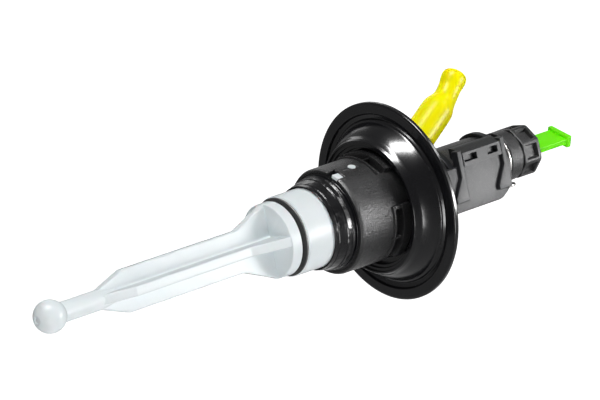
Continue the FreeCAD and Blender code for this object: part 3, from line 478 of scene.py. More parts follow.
def make_wear_group() -> bpy.types.NodeTree:
    """Handling wear: edges that stand out, broken up by noise."""
    tree, given, wanted = group_of("edge_wear", {"Reach": 0.5, "Breaks": 400.0}, ["Wear"])
    where = tree.add("ShaderNodeTexCoord").outputs["Object"]
    point = tree.add("ShaderNodeNewGeometry").outputs["Pointiness"]
    edge = tree.sums("MULTIPLY+", tree.sums("SUBTRACT", point, 0.52), 12.0)
    broken = tree.sums("MULTIPLY+", tree.noise(where, given["Breaks"], 3.0), 1.6)
    worn = tree.sums("MULTIPLY+", tree.sums("MULTIPLY", edge, broken), given["Reach"])
    tree.feed(wanted["Wear"], worn)
    return tree.tree


SOFT_DEPTH = 0.002
SHEEN_ROUGHNESS = 0.4
WORN_ROUGHNESS = 0.15
SPECK_POLISH = -1.2
# painted shade: grey and sharpness of the darkening where a surface is seen edge on
SILHOUETTE_SHADE_GREY = (0.16, 0.18, 0.19)
SILHOUETTE_SHADE_POWER = 5.0
GROUPS = {"grain": make_grain_group(), "tone": make_tone_group(), "wear": make_wear_group()}


@dataclass(frozen=True)
class Finish:
    """Finish of a moulded, rubber or metal surface.

    Colour and roughness drift slowly over the surface, grain raises it, worn edges are lighter,
    specks are lighter as painted glints, and ripple bends broad reflections. Outline is painted
    shade that darkens a surface seen edge on.
    """

    name: str
    slot: str
    colour: Triple
    shade: Triple
    # lighter colour of worn edges, and also of the specks' painted glints
    edge: Triple
    roughness: float
    drift: float = 0.08
    patches: float = 60.0
    grains: float = 2500.0
    grain_height: float = 0.00002
    # lift of the grain's specks towards the edge colour as painted glints, and the share of their
    # polish
    speck_and_glint: float = 0.0
    ripple: float = 0.0
    ripple_pitch: float = 150.0
    wear: float = 0.3
    specular: float = 0.5
    metallic: float = 0.0
    soft: float = 0.0
    sheen: float = 0.0
    # share of painted shade that darkens the surface where it is seen edge on
    outline: float = 0.0

    def material(self) -> bpy.types.Material:
        """The finish as a material, made once."""
        known = bpy.data.materials.get(self.name)
        if known is not None and known.get("dressed"):
            return known
        made = bpy.data.materials.new(self.name)
        made["dressed"] = True
        made.use_nodes = True
        made.node_tree.nodes.clear()
        tree = Tree(made.node_tree)
        shader = tree.add("ShaderNodeBsdfPrincipled")
        output = tree.add("ShaderNodeOutputMaterial")
        tree.feed(output.inputs["Surface"], shader.outputs[0])
        self.paint(tree, shader)
        self.raise_grain(tree, shader)
        for label, value in {
            "Metallic": self.metallic, "Specular IOR Level": self.specular,
            "Subsurface Weight": self.soft, "Subsurface Scale": SOFT_DEPTH,
            "Sheen Weight": self.sheen, "Sheen Roughness": SHEEN_ROUGHNESS,
        }.items():
            shader.inputs[label].default_value = value
        return made

    def group(self, tree: Tree, name: str, **inputs: float) -> bpy.types.Node:
        """Adds one of the shared effects with this finish's values."""
        node = tree.add("ShaderNodeGroup", {"node_tree": GROUPS[name]})
        for label, value in inputs.items():
            node.inputs[label].default_value = value
        return node

    def blend(self, tree: Tree, share: bpy.types.NodeSocket, first: object,
              second: object) -> bpy.types.NodeSocket:
        """Colour that goes from the first to the second by a share."""
        node = tree.add("ShaderNodeMix", {"data_type": "RGBA"})
        tree.feed(node.inputs[0], share)
        for socket, value in ((node.inputs[6], first), (node.inputs[7], second)):
            tree.feed(socket, value if isinstance(value, bpy.types.NodeSocket) else (*value, 1.0))
        return node.outputs[2]

    def paint(self, tree: Tree, shader: bpy.types.Node) -> None:
        """Joins colour and roughness to the shader."""
        tone = self.group(tree, "tone", Patches=self.patches).outputs["Tone"]
        grain = self.group(tree, "grain", Grains=self.grains)
        worn = self.group(tree, "wear", Reach=self.wear).outputs["Wear"]
        colour = self.blend(tree, tone, self.colour, self.shade)
        # painted glints: the grain's specks lift the colour towards the lighter edge colour
        light = tree.sums("MULTIPLY+", grain.outputs["Speck"], self.speck_and_glint)
        colour = self.blend(tree, tree.sums("MAXIMUM", worn, light), colour, self.edge)
        # painted shade: the colour goes towards grey where the surface is seen edge on
        if self.outline:
            facing = tree.add("ShaderNodeLayerWeight", Blend=0.5).outputs["Facing"]
            share = tree.sums("MULTIPLY", tree.sums("POWER", facing, SILHOUETTE_SHADE_POWER), self.outline)
            colour = self.blend(tree, share, colour, SILHOUETTE_SHADE_GREY)
        tree.feed(shader.inputs["Base Color"], colour)
        drift = tree.sums("SUBTRACT", tone, 0.5)
        rough = tree.sums("MULTIPLY_ADD+", drift, self.drift, self.roughness)
        rough = tree.sums("MULTIPLY_ADD+", grain.outputs["Speck"], SPECK_POLISH * self.speck_and_glint,
                          rough)
        tree.feed(shader.inputs["Roughness"], tree.sums("MULTIPLY_ADD+", worn, WORN_ROUGHNESS,
                                                         rough))

    def raise_grain(self, tree: Tree, shader: bpy.types.Node) -> None:
        """Joins grain and ripple to the shader's normal."""
        grain = self.group(tree, "grain", Grains=self.grains)
        bump = tree.add("ShaderNodeBump", Strength=1.0, Distance=self.grain_height,
                        Height=grain.outputs["Height"])
        if self.ripple:
            wave = self.group(tree, "tone", Patches=self.ripple_pitch, Drawn=1.0)
            broad = tree.add("ShaderNodeBump", Strength=1.0, Distance=self.ripple,
                             Height=wave.outputs["Tone"])
            tree.feed(bump.inputs["Normal"], broad.outputs[0])
        tree.feed(shader.inputs["Normal"], bump.outputs[0])


# White nylon carries painted shade that darkens it where it is seen edge on.
WHITE_NYLON = Finish("white_nylon_looks", "white_nylon", (0.75, 0.795, 0.81),
                     (0.71, 0.765, 0.785), (0.84, 0.87, 0.88), 0.38, grains=1800.0,
                     grain_height=0.000006, wear=0.2, ripple=0.00006, ripple_pitch=90.0,
                     soft=0.04, specular=0.08, outline=0.9)
# Black nylon's grain specks are lifted as painted glints.
BLACK_NYLON = Finish("black_nylon_looks", "black_nylon", (0.005, 0.005, 0.0055),
                     (0.009, 0.009, 0.0095), (0.07, 0.07, 0.072), 0.42, grains=2400.0,
                     grain_height=0.0002, speck_and_glint=0.16, wear=0.35, drift=0.2, specular=0.16)
GLOSS_BLACK = Finish("gloss_black_looks", "gloss_black", (0.003, 0.003, 0.004),
                     (0.005, 0.005, 0.006), (0.03, 0.03, 0.033), 0.2, grains=900.0,
                     grain_height=0.000003, ripple=0.00003, ripple_pitch=60.0, wear=0.3,
                     drift=0.05, specular=0.15)
WET_BLACK = Finish("wet_black_looks", "gloss_black", (0.003, 0.003, 0.004),
                   (0.006, 0.006, 0.007), (0.03, 0.03, 0.03), 0.2, grains=1500.0,
                   grain_height=0.00001, ripple=0.00012, ripple_pitch=420.0, wear=0.4,
                   specular=0.12)
# Rail grey's grain specks are lifted as painted glints.
RAIL_GREY = Finish("rail_grey_looks", "rail_grey", (0.014, 0.0145, 0.016),
                   (0.020, 0.021, 0.023), (0.11, 0.115, 0.12), 0.4, grains=2200.0,
                   grain_height=0.00004, speck_and_glint=0.06, wear=0.7, specular=0.05)
SEAL_RUBBER = Finish("seal_rubber_looks", "seal_rubber", (0.012, 0.012, 0.012),
                     (0.018, 0.018, 0.018), (0.05, 0.05, 0.05), 0.55, grains=3500.0,
                     grain_height=0.00002, sheen=0.1)
SPRING_STEEL = Finish("spring_steel_looks", "spring_steel", (0.50, 0.49, 0.48),
                      (0.38, 0.37, 0.36), (0.7, 0.7, 0.7), 0.16, grains=4000.0,
                      grain_height=0.000004, metallic=1.0, drift=0.12)
# The magnet's grain specks are lifted as painted glints.
MAGNET = Finish("magnet_looks", "magnet", (0.11, 0.105, 0.10), (0.16, 0.15, 0.145),
                (0.3, 0.3, 0.3), 0.5, grains=3000.0, grain_height=0.00002, speck_and_glint=0.2)
YELLOW_CAP = Finish("yellow_cap_looks", "yellow_cap", (1.0, 0.96, 0.0), (1.0, 0.86, 0.0),
                    (1.0, 0.95, 0.1), 0.3, patches=45.0, grains=1500.0, grain_height=0.000004,
                    ripple=0.00003, ripple_pitch=60.0, wear=0.1, soft=0.1, specular=0.03)
GREEN_PLUG = Finish("green_plug_looks", "green_plug", (0.20, 0.95, 0.004), (0.15, 0.84, 0.004),
                    (0.40, 0.95, 0.06), 0.35, grains=1600.0, grain_height=0.00001, wear=0.4,
                    soft=0.1, specular=0.05)


def make_piece(name: str, shell: Shell, body: Body, finish: Finish, *nodes: str) -> bpy.types.Object:
    """Makes a piece of the scene from a surface in millimetres.

    Args:
        name: piece's name.
        shell: its surface.
        body: the body that it moves with.
        finish: its finish.
        *nodes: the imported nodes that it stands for.

    Returns:
        The piece.
    """
    mesh = bpy.data.meshes.new(name)
    faces = [face for group in shell.faces for face in group.tolist()]
    mesh.from_pydata((shell.points * MM).tolist(), [], faces)
    mesh.polygons.foreach_set("use_smooth", np.ones(len(mesh.polygons), bool))
    mesh.set_sharp_from_angle(angle=SHARP_ANGLE)
    mesh.materials.append(finish.material())
    mesh.update()
    piece = bpy.data.objects.new(name, mesh)
    bpy.context.scene.collection.objects.link(piece)
    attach(piece, body.value)
    if nodes:
        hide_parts(*nodes)
    LOG.info("%s: %d faces", name, len(faces))
    return piece


@dataclass
class Pushrod:
    """White rod: pedal ball, neck, crossed ribs, collar and rear ball in one moulding."""

    ball: Pair = (-155.9, 6.0)
    ball_face: float = -161.55
    dimple: Pair = (1.3, 0.35)
    neck_r: float = 3.75
    rib_line: tuple[Pair, ...] = ((-135.4, 3.35), (-134.4, 3.75), (-123.4, 7.8), (-71.2, 7.8),
                                  (-57.2, 13.6), (-56.4, 13.6))
    rib_thick: float = 3.5
    rib_edge: float = 0.4
    rib_fillet: float = 0.9
    core_r: float = 2.2
    collar: tuple[float, float, float] = (-57.2, -52.5, 14.0)
    stalk_r: float = 4.2
    head: Pair = (-38.0, 7.0)

    def body_profile(self) -> Grid:
        """Outline of the turned parts, from the ball's face to the rear ball."""
        at, size = self.ball
        first = math.acos((self.ball_face - at) / size)
        last = math.asin(self.neck_r / size)
        swing = np.linspace(first, last, 40)[:, None]
        ball = np.hstack([at + size * np.cos(swing), size * np.sin(swing)])
        hole, depth = self.dimple
        start = [(self.ball_face + depth, 0.0), (self.ball_face + depth, hole - 0.3),
                 (self.ball_face, hole + 0.1)]
        front, rear, wide = self.collar
        middle = [(-134.5, self.neck_r), (-123.4, self.core_r), (front, self.core_r),
                  (front, wide), (rear, wide), (rear, self.stalk_r)]
        back, big = self.head
        swing = np.linspace(HALF_TURN - math.asin(self.stalk_r / big), 0.0, 40)[:, None]
        head = np.hstack([back + big * np.cos(swing), np.maximum(big * np.sin(swing), 0.0)])
        corners = np.vstack([start, ball, middle, head])
        radii = np.zeros(len(corners))
        radii[[1, 2]] = 0.2
        radii[len(start)] = 0.3
        radii[len(start) + len(ball) - 1] = 2.2
        base = len(start) + len(ball)
        radii[base:base + len(middle)] = [4.0, 4.0, 0.6, 0.45, 0.45, 0.8]
        return rounded(corners, radii, closed=False)

    def rib_section(self) -> tuple[Grid, Grid]:
        """Outline of the crossed ribs.

        Each point is a fixed part plus the rib's half height times a direction, so one outline
        serves every place along the rod.

        Returns:
            The fixed parts and the directions.
        """
        half, edge, fillet = self.rib_thick / 2.0, self.rib_edge, self.rib_fillet
        swing = np.linspace(0.0, FULL_TURN / 4.0, 5)
        inner = half + fillet
        tip = np.concatenate([
            [[-edge - 0.3, -half]],
            np.stack([edge * np.sin(swing) - edge, edge - half - edge * np.cos(swing)], axis=1),
            np.stack([edge * np.cos(swing) - edge, half - edge + edge * np.sin(swing)], axis=1),
            [[-edge - 0.3, half]],
        ])
        corner = np.concatenate([
            [[inner + 0.3, half]],
            np.stack([inner - fillet * np.sin(swing), inner - fillet * np.cos(swing)], axis=1),
            [[half, inner + 0.3]],
        ])
        fixed = np.concatenate([tip, corner])
        moving = np.zeros_like(fixed)
        moving[:len(tip), 0] = 1.0
        quarter = np.array([[0.0, 1.0], [-1.0, 0.0]])
        turns = [np.linalg.matrix_power(quarter, count) for count in range(4)]
        return (np.concatenate([fixed @ turn for turn in turns]),
                np.concatenate([moving @ turn for turn in turns]))

    def shell(self) -> Shell:
        """The whole rod."""
        ribs = rounded(np.array(self.rib_line), [0.0, 0.5, 1.6, 2.5, 1.2, 0.0], closed=False)
        fixed, moving = self.rib_section()
        outline = fixed[None, :, :] + ribs[:, 1][:, None, None] * moving[None, :, :]
        along = np.broadcast_to(ribs[:, 0][:, None, None], outline.shape[:2] + (1,))
        cross = skin(np.concatenate([along, outline], axis=2))
        return joined([lathe(self.body_profile(), 128, wrap=False), cross])

    def build(self) -> None:
        """Makes the rod."""
        make_piece("rod_moulding", self.shell(), Body.ROD, WHITE_NYLON, "pushrod")


@dataclass
class PlungerMouth:
    """Black bumper ring set in the mouth of the white plunger."""

    front: float = -50.95
    rear: float = -50.3
    inner: float = 11.4
    outer: float = 14.75
    fillet: float = 0.3

    def build(self) -> None:
        """Makes the ring."""
        ring = rounded([(self.front, self.inner), (self.front, self.outer),
                        (self.rear, self.outer), (self.rear, self.inner)], self.fillet)
        make_piece("mouth_ring", lathe(ring), Body.PISTON, SEAL_RUBBER, "bumper_ring")


@dataclass
class FrontCap:
    """Black cap with a wiping lip, a cone, a shoulder and a snap bead."""

    corners: tuple[tuple[float, float, float], ...] = (
        (-38.6, 15.45, 0.12), (-38.6, 15.9, 0.25), (-36.9, 16.15, 0.4), (-36.7, 16.35, 0.2),
        (-33.6, 16.95, 0.5), (-33.2, 17.3, 0.3), (-31.3, 17.3, 0.3), (-30.7, 17.75, 0.3),
        (-29.52, 17.75, 0.2), (-29.3, 18.55, 0.1), (-26.6, 18.55, 0.1), (-26.6, 17.85, 0.1),
        (-29.2, 17.1, 0.3), (-31.0, 15.9, 0.4), (-36.6, 15.45, 0.2),
    )

    def build(self) -> None:
        """Makes the cap."""
        corners = np.array(self.corners)
        make_piece("wiper_cap", lathe(rounded(corners[:, :2], corners[:, 2])), Body.HOUSING,
                   WET_BLACK, "front_cap")


@dataclass
class Lug:
    """Bayonet lug: a turn where it starts, and how far along it the bridge stands."""

    turn: float
    bridge: float


@dataclass
class Sleeve:
    """Satin black sleeve with three bayonet lugs, a notch, a peg hole and a mark."""

    radius: float = 20.0
    front: float = -29.5
    rear: float = 1.0
    bevel: float = 0.9
    seat: Pair = (-26.5, 18.6)
    bore: float = 17.82
    flange: tuple[float, float, float] = (1.0, 3.5, 25.0)
    lugs: tuple[Lug, ...] = (Lug(-17.0, 40.0), Lug(86.0, 35.0), Lug(216.0, 31.0))
    span: float = 64.0
    tab: tuple[float, float, float] = (-10.0, -6.0, 1.5)
    slot: tuple[float, float, float] = (-12.8, -10.0, -1.7)
    lip: tuple[float, float, float] = (-13.7, -12.8, 0.7)
    bridge: tuple[float, float, float] = (-14.2, -10.0, 1.3)
    end_block: Pair = (4.0, 0.9)
    notch: tuple[float, float, float] = (20.0, 37.0, 3.5)
    peg: tuple[float, float, float] = (-18.9, 25.0, 1.5)
    mark: tuple[float, float, float, float] = (-25.2, -21.6, 27.0, 29.0)
    tick: tuple[float, float, float, float] = (-17.8, -16.4, 92.4, 93.4)
    step: float = 0.22
    mark_depth: float = 0.25
    tick_height: float = 0.15
    peg_depth: float = 1.6
    first_turn: float = -30.0

    def heights(self, along: Grid, turns: Grid) -> Grid:
        """Height of the surface over the plain sleeve.

        Each feature is its height times a band along the axis times a band round it, and a lug's
        bridge and end block fill its slot.

        Args:
            along: places along the axis.
            turns: turns from -30 to 330 degrees.

        Returns:
            The heights.
        """
        soft_turn = math.degrees(self.step / self.radius)
        total = np.zeros(np.broadcast(along, turns).shape)
        for lug in self.lugs:
            inside = band(turns, lug.turn, lug.turn + self.span, soft_turn)
            lap = lug.turn + lug.bridge
            cross = band(turns, lap - self.bridge[2], lap + self.bridge[2], soft_turn)
            block = band(turns, lug.turn, lug.turn + self.end_block[0], soft_turn)
            over = band(along, self.bridge[0], self.bridge[1], self.step) * cross
            for low, high, height in (self.tab, self.slot, self.lip):
                total += band(along, low, high, self.step) * inside * height * (1.0 - over)
            total += over * self.lip[2]
            filled = band(along, self.slot[0], self.slot[1], self.step) * block * (1.0 - over)
            total += filled * (self.end_block[1] - self.slot[2])
        low, high, first, last = self.mark
        marked = band(along, low, high, self.step) * band(turns, first, last, soft_turn)
        total -= self.mark_depth * marked
        low, high, first, last = self.tick
        ticked = band(along, low, high, self.step) * band(turns, first, last, soft_turn)
        total += self.tick_height * ticked
        return total

    def shell(self) -> Shell:
        """The sleeve: one closed grid of outer face, front edge, bore and flange."""
        lug_edges = [lug.turn + part for lug in self.lugs for part in (
            0.0, self.span, self.end_block[0], lug.bridge - self.bridge[2],
            lug.bridge + self.bridge[2])]
        peg_along, peg_turn, peg_r = self.peg
        peg_half = math.degrees(peg_r / self.radius)
        turn_edges = lug_edges + [*self.notch[:2], *self.mark[2:], *self.tick[2:],
                                  peg_turn - peg_half, peg_turn + peg_half]
        soft_turn = math.degrees(self.step / self.radius)
        turns = lines(self.first_turn, self.first_turn + 360.0, turn_edges, soft_turn,
                      1.25)[None, :-1]
        ring_edges = [*self.tab[:2], *self.slot[:2], *self.lip[:2], self.bridge[0],
                      *self.mark[:2], *self.tick[:2], peg_along - peg_r, peg_along + peg_r]
        bevel_end = self.front + self.bevel
        along = lines(bevel_end, self.rear, ring_edges, self.step, 0.8)[::-1, None]
        side = self.radius * np.radians(turns - peg_turn)
        forth = along - peg_along
        square = np.maximum(np.abs(forth), np.abs(side))
        round_off = np.maximum(np.hypot(forth, side), TINY)
        share = 1.0 - ramp(square, 1.5 * peg_r, peg_r)
        scale = 1.0 + (square / round_off - 1.0) * share
        near_peg = square < 3.0 * peg_r
        moved = np.where(near_peg, peg_along + forth * scale, along)
        moved_turns = np.where(near_peg, peg_turn + (turns - peg_turn) * scale, turns)
        radius = self.radius + self.heights(along, turns)
        radius -= self.peg_depth * (1.0 - ramp(square, peg_r + self.step / 2.0, self.step))
        outer = np.stack([moved, radius, moved_turns], axis=-1)
        edge = rounded([(bevel_end, self.radius), (self.front, self.radius - 0.55 * self.bevel),
                        (self.front, self.seat[1]), (self.seat[0], self.seat[1]),
                        (self.seat[0], self.bore), (self.flange[1], self.bore),
                        (self.flange[1], self.flange[2]), (self.flange[0], self.flange[2])],
                       [0.0, 0.25, 0.15, 0.1, 0.1, 0.3, 0.4, 0.4], closed=False)[1:]
        flat = np.broadcast_to(turns, (len(edge), turns.shape[1]))
        inner = np.stack([np.broadcast_to(edge[:, :1], flat.shape),
                          np.broadcast_to(edge[:, 1:], flat.shape), flat], axis=-1)
        grid = np.concatenate([outer, inner])
        cut = band(turns, self.notch[0], self.notch[1], soft_turn)
        limit = self.front + self.notch[2] * cut
        stretch = np.clip((self.front + 2.0 * self.notch[2] - grid[..., 0])
                          / (2.0 * self.notch[2]), 0.0, 1.0)
        pushed = grid[..., 0] + (limit - self.front) * stretch
        return skin(about_axis(pushed, grid[..., 1], grid[..., 2]), wrap_rows=True)

    def build(self) -> None:
        """Makes the sleeve."""
        make_piece("sleeve_moulding", self.shell(), Body.HOUSING, BLACK_NYLON, "bayonet_sleeve")


@dataclass
class SealDisc:
    """Glossy black disc: rounded rim, ridge, convex band and a stepped hub."""

    corners: tuple[tuple[float, float, float], ...] = (
        (1.0, 20.02, 0.1), (1.0, 25.1, 0.2), (3.5, 25.1, 0.2), (3.5, 33.0, 0.4),
        (2.6, 33.6, 0.4), (2.4, 37.0, 0.5), (1.8, 37.8, 0.6), (0.3, 37.8, 0.5),
        (0.0, 37.0, 0.4), (0.0, 33.7, 0.25), (0.9, 33.1, 0.3), (1.25, 31.6, 0.3),
        (0.55, 31.0, 0.3), (0.25, 30.4, 0.4),
    )
    band_ends: tuple[Pair, Pair] = ((0.0, 30.2), (-6.0, 26.5))
    band_crown: float = 0.28
    hub: tuple[tuple[float, float, float], ...] = (
        (-7.4, 25.9, 0.8), (-8.4, 25.3, 0.3), (-8.4, 24.6, 0.15), (-7.6, 24.6, 0.15),
        (-7.6, 23.4, 0.15), (-6.8, 23.4, 0.15), (-6.8, 22.2, 0.15), (-5.0, 22.2, 0.2),
        (-5.0, 20.02, 0.1),
    )

    def profile(self) -> Grid:
        """Outline of the disc; the band is its chord plus 4cs(1-s) square to it."""
        (x0, r0), (x1, r1) = self.band_ends
        way = np.linspace(0.0, 1.0, 15)[:, None]
        chord = np.array([x1 - x0, r1 - r0])
        square = np.array([chord[1], -chord[0]]) / np.hypot(*chord)
        crown = np.array([x0, r0]) + way * chord + 4.0 * self.band_crown * way * (1.0 - way) * square
        corners = np.vstack([np.array(self.corners)[:, :2], crown, np.array(self.hub)[:, :2]])
        radii = np.concatenate([np.array(self.corners)[:, 2], np.zeros(len(crown)),
                                np.array(self.hub)[:, 2]])
        return rounded(corners, radii)

    def build(self) -> None:
        """Makes the disc."""
        make_piece("seal_disc", lathe(self.profile(), 256), Body.HOUSING, GLOSS_BLACK,
                   "bulkhead_seal")


@dataclass
class PressureBody:
    """Black pressure body: backing flange, gussets, shoulder, barrel and inlet nipple."""

    corners: tuple[tuple[float, float, float], ...] = (
        (0.3, 12.22, 0.1), (0.3, 17.78, 0.2), (3.52, 17.78, 0.1), (3.52, 33.0, 0.4),
        (5.9, 33.0, 0.5), (5.9, 16.5, 0.8), (19.5, 16.5, 0.5), (21.3, 12.8, 0.5),
        (51.95, 12.8, 0.3), (51.95, 10.22, 0.1), (18.5, 10.22, 0.1), (18.5, 12.22, 0.1),
    )
    gusset: tuple[Pair, ...] = ((5.4, 15.9), (5.4, 30.5), (6.6, 30.5), (15.5, 17.5),
                                (15.5, 15.9))
    gusset_thick: float = 1.8
    gusset_turns: tuple[float, ...] = tuple(range(40, 321, 40))
    nipple_start: Pair = (10.4, 11.2)
    nipple_tilt: float = 33.6
    nipple: tuple[tuple[float, float, float], ...] = (
        (2.0, 0.0, 0.0), (2.0, 6.4, 0.0), (12.6, 6.4, 0.4), (12.6, 4.3, 0.5), (20.0, 4.3, 0.2),
        (20.0, 4.9, 0.15), (23.2, 4.3, 0.4), (27.0, 4.3, 0.4), (27.0, 2.6, 0.2), (9.0, 2.6, 0.0),
        (9.0, 0.0, 0.0),
    )

    def build(self) -> None:
        """Makes the body."""
        corners = np.array(self.corners)
        shells = [lathe(rounded(corners[:, :2], corners[:, 2]), 160)]
        outline = rounded(self.gusset, [0.0, 0.5, 0.5, 0.5, 0.0])
        half = self.gusset_thick / 2.0
        upright = np.array([[1.0, 0.0, 0.0], [0.0, 0.0, 1.0], [0.0, -1.0, 0.0]])
        rib = prism(outline, -half, half, 0.3).placed(upright)
        shells += [rib.turned(turn) for turn in self.gusset_turns]
        stem = np.array(self.nipple)
        turned = lathe(rounded(stem[:, :2], stem[:, 2], closed=False), 96, wrap=False)
        shells.append(turned.placed(*inclined(self.nipple_start, self.nipple_tilt)))
        make_piece("pressure_casting", joined(shells), Body.HOUSING, BLACK_NYLON,
                   "pressure_body")


def inclined(start: Pair, tilt: float) -> tuple[Grid, Triple]:
    """Axes and place of something that leans up from the main axis.

    Args:
        start: place along the axis and height.
        tilt: lean in degrees.

    Returns:
        The axes and the shift for Shell.placed.
    """
    angle = math.radians(tilt)
    axes = np.array([[math.cos(angle), 0.0, math.sin(angle)], [0.0, 1.0, 0.0],
                     [-math.sin(angle), 0.0, math.cos(angle)]])
    return axes, (start[0], 0.0, start[1])


@dataclass
class InletCap:
    """Soft yellow cap on the inlet nipple, with a leaning round tip."""

    start: Pair = (10.4, 11.2)
    tilt: float = 33.6
    mouth: float = 13.1
    bend: float = 34.2
    lean: float = 11.4
    tip: float = 11.67
    radii: tuple[Pair, ...] = ((13.1, 6.05), (13.5, 6.25), (26.0, 6.25), (29.0, 6.1), (32.8, 4.7),
                               (35.0, 4.4), (39.0, 4.35), (41.0, 4.8), (42.6, 4.87),
                               (43.4, 4.8))
    end_length: float = 3.2
    wall: float = 1.05
    hollow: float = 26.0

    def shell(self) -> Shell:
        """The cap: inner wall from its floor to the mouth, then the outside to the tip.

        The centre line is two straight runs with a round bend, the radius is a smooth curve
        through the given places, and the tip is a quarter of an ellipse.
        """
        lean = math.radians(self.lean)
        total = self.bend + self.tip
        out = np.array([math.cos(lean), math.sin(lean)])
        line = rounded([(0.0, 0.0), (self.bend, 0.0), (self.bend + self.tip * out[0],
                                                       self.tip * out[1])],
                       [0.0, 22.0, 0.0], closed=False, steps=10)
        length = np.concatenate([[0.0], np.cumsum(np.linalg.norm(np.diff(line, axis=0), axis=1))])
        length *= total / length[-1]
        swing = np.linspace(0.0, FULL_TURN / 4.0, 14)[1:-1]
        body_end = total - self.end_length
        outside = np.linspace(self.mouth, body_end, 90)
        given = np.array(self.radii)
        spread = np.linspace(self.mouth, body_end, 600)
        raw = np.interp(spread, given[:, 0], given[:, 1])
        smooth = np.convolve(np.pad(raw, 24, mode="edge"), np.ones(49) / 49.0, mode="valid")
        radius = np.interp(outside, spread, smooth)
        places = np.concatenate([outside, body_end + self.end_length * np.sin(swing)])
        radius = np.concatenate([radius, 0.55 * radius[-1] + 0.45 * radius[-1] * np.cos(swing)
                                 - 0.55 * radius[-1] * (1.0 - np.cos(swing)) ** 2])
        inside = np.linspace(self.hollow, self.mouth + 0.15, 30)
        bore = np.full(len(inside), self.radii[0][1] - self.wall)
        bore[:2] = [0.5 * bore[0], bore[0] - 0.3]
        places = np.concatenate([inside, places])
        radius = np.concatenate([bore, radius])
        centre = np.stack([np.interp(places, length, line[:, 0]),
                           np.interp(places, length, line[:, 1])], axis=1)
        turn = np.interp(places, [self.bend - 2.2, self.bend + 2.2], [0.0, lean])
        angle = np.radians(even_turns(96))[None, :]
        arm = radius[:, None] * np.cos(angle)
        grid = np.stack([
            centre[:, :1] - arm * np.sin(turn)[:, None],
            -radius[:, None] * np.sin(angle),
            centre[:, 1:] + arm * np.cos(turn)[:, None],
        ], axis=-1)
        return skin(grid).placed(*inclined(self.start, self.tilt))

    def build(self) -> None:
        """Makes the cap."""
        make_piece("dust_cap", self.shell(), Body.CAP, YELLOW_CAP, "inlet_cap")


@dataclass
class SensorRail:
    """Dark rail for the travel sensor: plate, windowed bar, straps and curved arms."""

    plate: tuple[float, float, float, float] = (19.9, 49.2, -10.6, 6.4)
    plate_faces: Pair = (11.2, 14.2)
    corner_r: float = 6.0
    bar: tuple[float, float, float, float] = (28.0, 47.8, 6.0, 12.9)
    bar_face: float = 15.6
    bar_back: float = 8.6
    roof: Pair = (11.0, 5.4 / 1.9)
    windows: tuple[Pair, ...] = ((28.9, 35.2), (40.8, 45.8))
    window_up: Pair = (7.6, 9.9)
    window_depth: float = 2.0
    arms: tuple[Pair, ...] = ((23.0, 22.0), (48.0, -32.0))
    arm_width: float = 2.6
    arm_radii: Pair = (12.85, 14.2)
    arm_end: float = 134.0
    straps: tuple[Pair, ...] = ((25.9, 4.4), (47.8, 4.4))
    strap_face: float = 15.45
    strap_thick: float = 3.4
    strap_up: tuple[float, float, float, float] = (12.2, 2.2, -5.0, -7.0)
    strap_width: float = 2.2

    def near_side(self) -> Grid:
        """Axes that carry an outline in X and Z onto the near side."""
        return np.array([[1.0, 0.0, 0.0], [0.0, 0.0, 1.0], [0.0, -1.0, 0.0]])

    def bar_shell(self) -> Shell:
        """Bar: a face that falls away as a roof at the top, with two sunk windows."""
        low, high, down, top = self.bar
        edges = [place for window in self.windows for place in window]
        across = np.unique(np.concatenate([lines(low, high, edges, 0.3, 1.0),
                                           low + np.linspace(0, 0.5, 5),
                                           high - np.linspace(0, 0.5, 5)]))
        up = np.unique(np.concatenate([lines(down, top, [*self.window_up, self.roof[0]], 0.3, 0.5),
                                       down + np.linspace(0, 0.3, 4)]))
        wide, tall = np.meshgrid(across, up)
        height = self.bar_face - self.roof[1] * np.maximum(tall - self.roof[0], 0.0)
        for first, last in self.windows:
            height -= (self.window_depth * band(wide, first, last, 0.3)
                       * band(tall, self.window_up[0], self.window_up[1], 0.3))
        height -= edge_fall(wide, low, high, 0.4)
        return relief(across, up, height, self.bar_back).placed(self.near_side())

    def arm_shell(self, front: float, turn: float) -> Shell:
        """Curved arm: a rounded section carried round the barrel between two turns."""
        inner, outer = self.arm_radii
        section = rounded([(front, inner), (front, outer), (front + self.arm_width, outer),
                           (front + self.arm_width, inner)], 0.3)
        turns = np.linspace(turn, self.arm_end, 60)[:, None]
        return skin(about_axis(section[None, :, 0], section[None, :, 1], turns), ends=End.FLAT)

    def strap_shell(self, front: float, flare: float) -> Shell:
        """Strap down the face, whose toe flares forwards."""
        top, bend, toe, end = self.strap_up
        rear = front + self.strap_width
        outline = rounded([(front, top), (front, bend), (front - flare, toe),
                           (front - flare, end), (rear, end), (rear, top)],
                          [0.3, 1.2, 0.5, 0.4, 0.4, 0.3])
        return prism(outline, self.strap_face - self.strap_thick, self.strap_face,
                     0.3).placed(self.near_side())

    def build(self) -> None:
        """Makes the rail."""
        low, high, down, up = self.plate
        outline = rounded([(low, down), (high, down), (high, up), (low, up)],
                          [0.5, self.corner_r, 0.5, 0.5], steps=12)
        plate = prism(outline, self.plate_faces[0], self.plate_faces[1], 0.35)
        shells = [plate.placed(self.near_side()), self.bar_shell()]
        shells += [self.arm_shell(*arm) for arm in self.arms]
        shells += [self.strap_shell(*strap) for strap in self.straps]
        make_piece("rail_moulding", joined(shells), Body.HOUSING, RAIL_GREY, "sensor_rail")


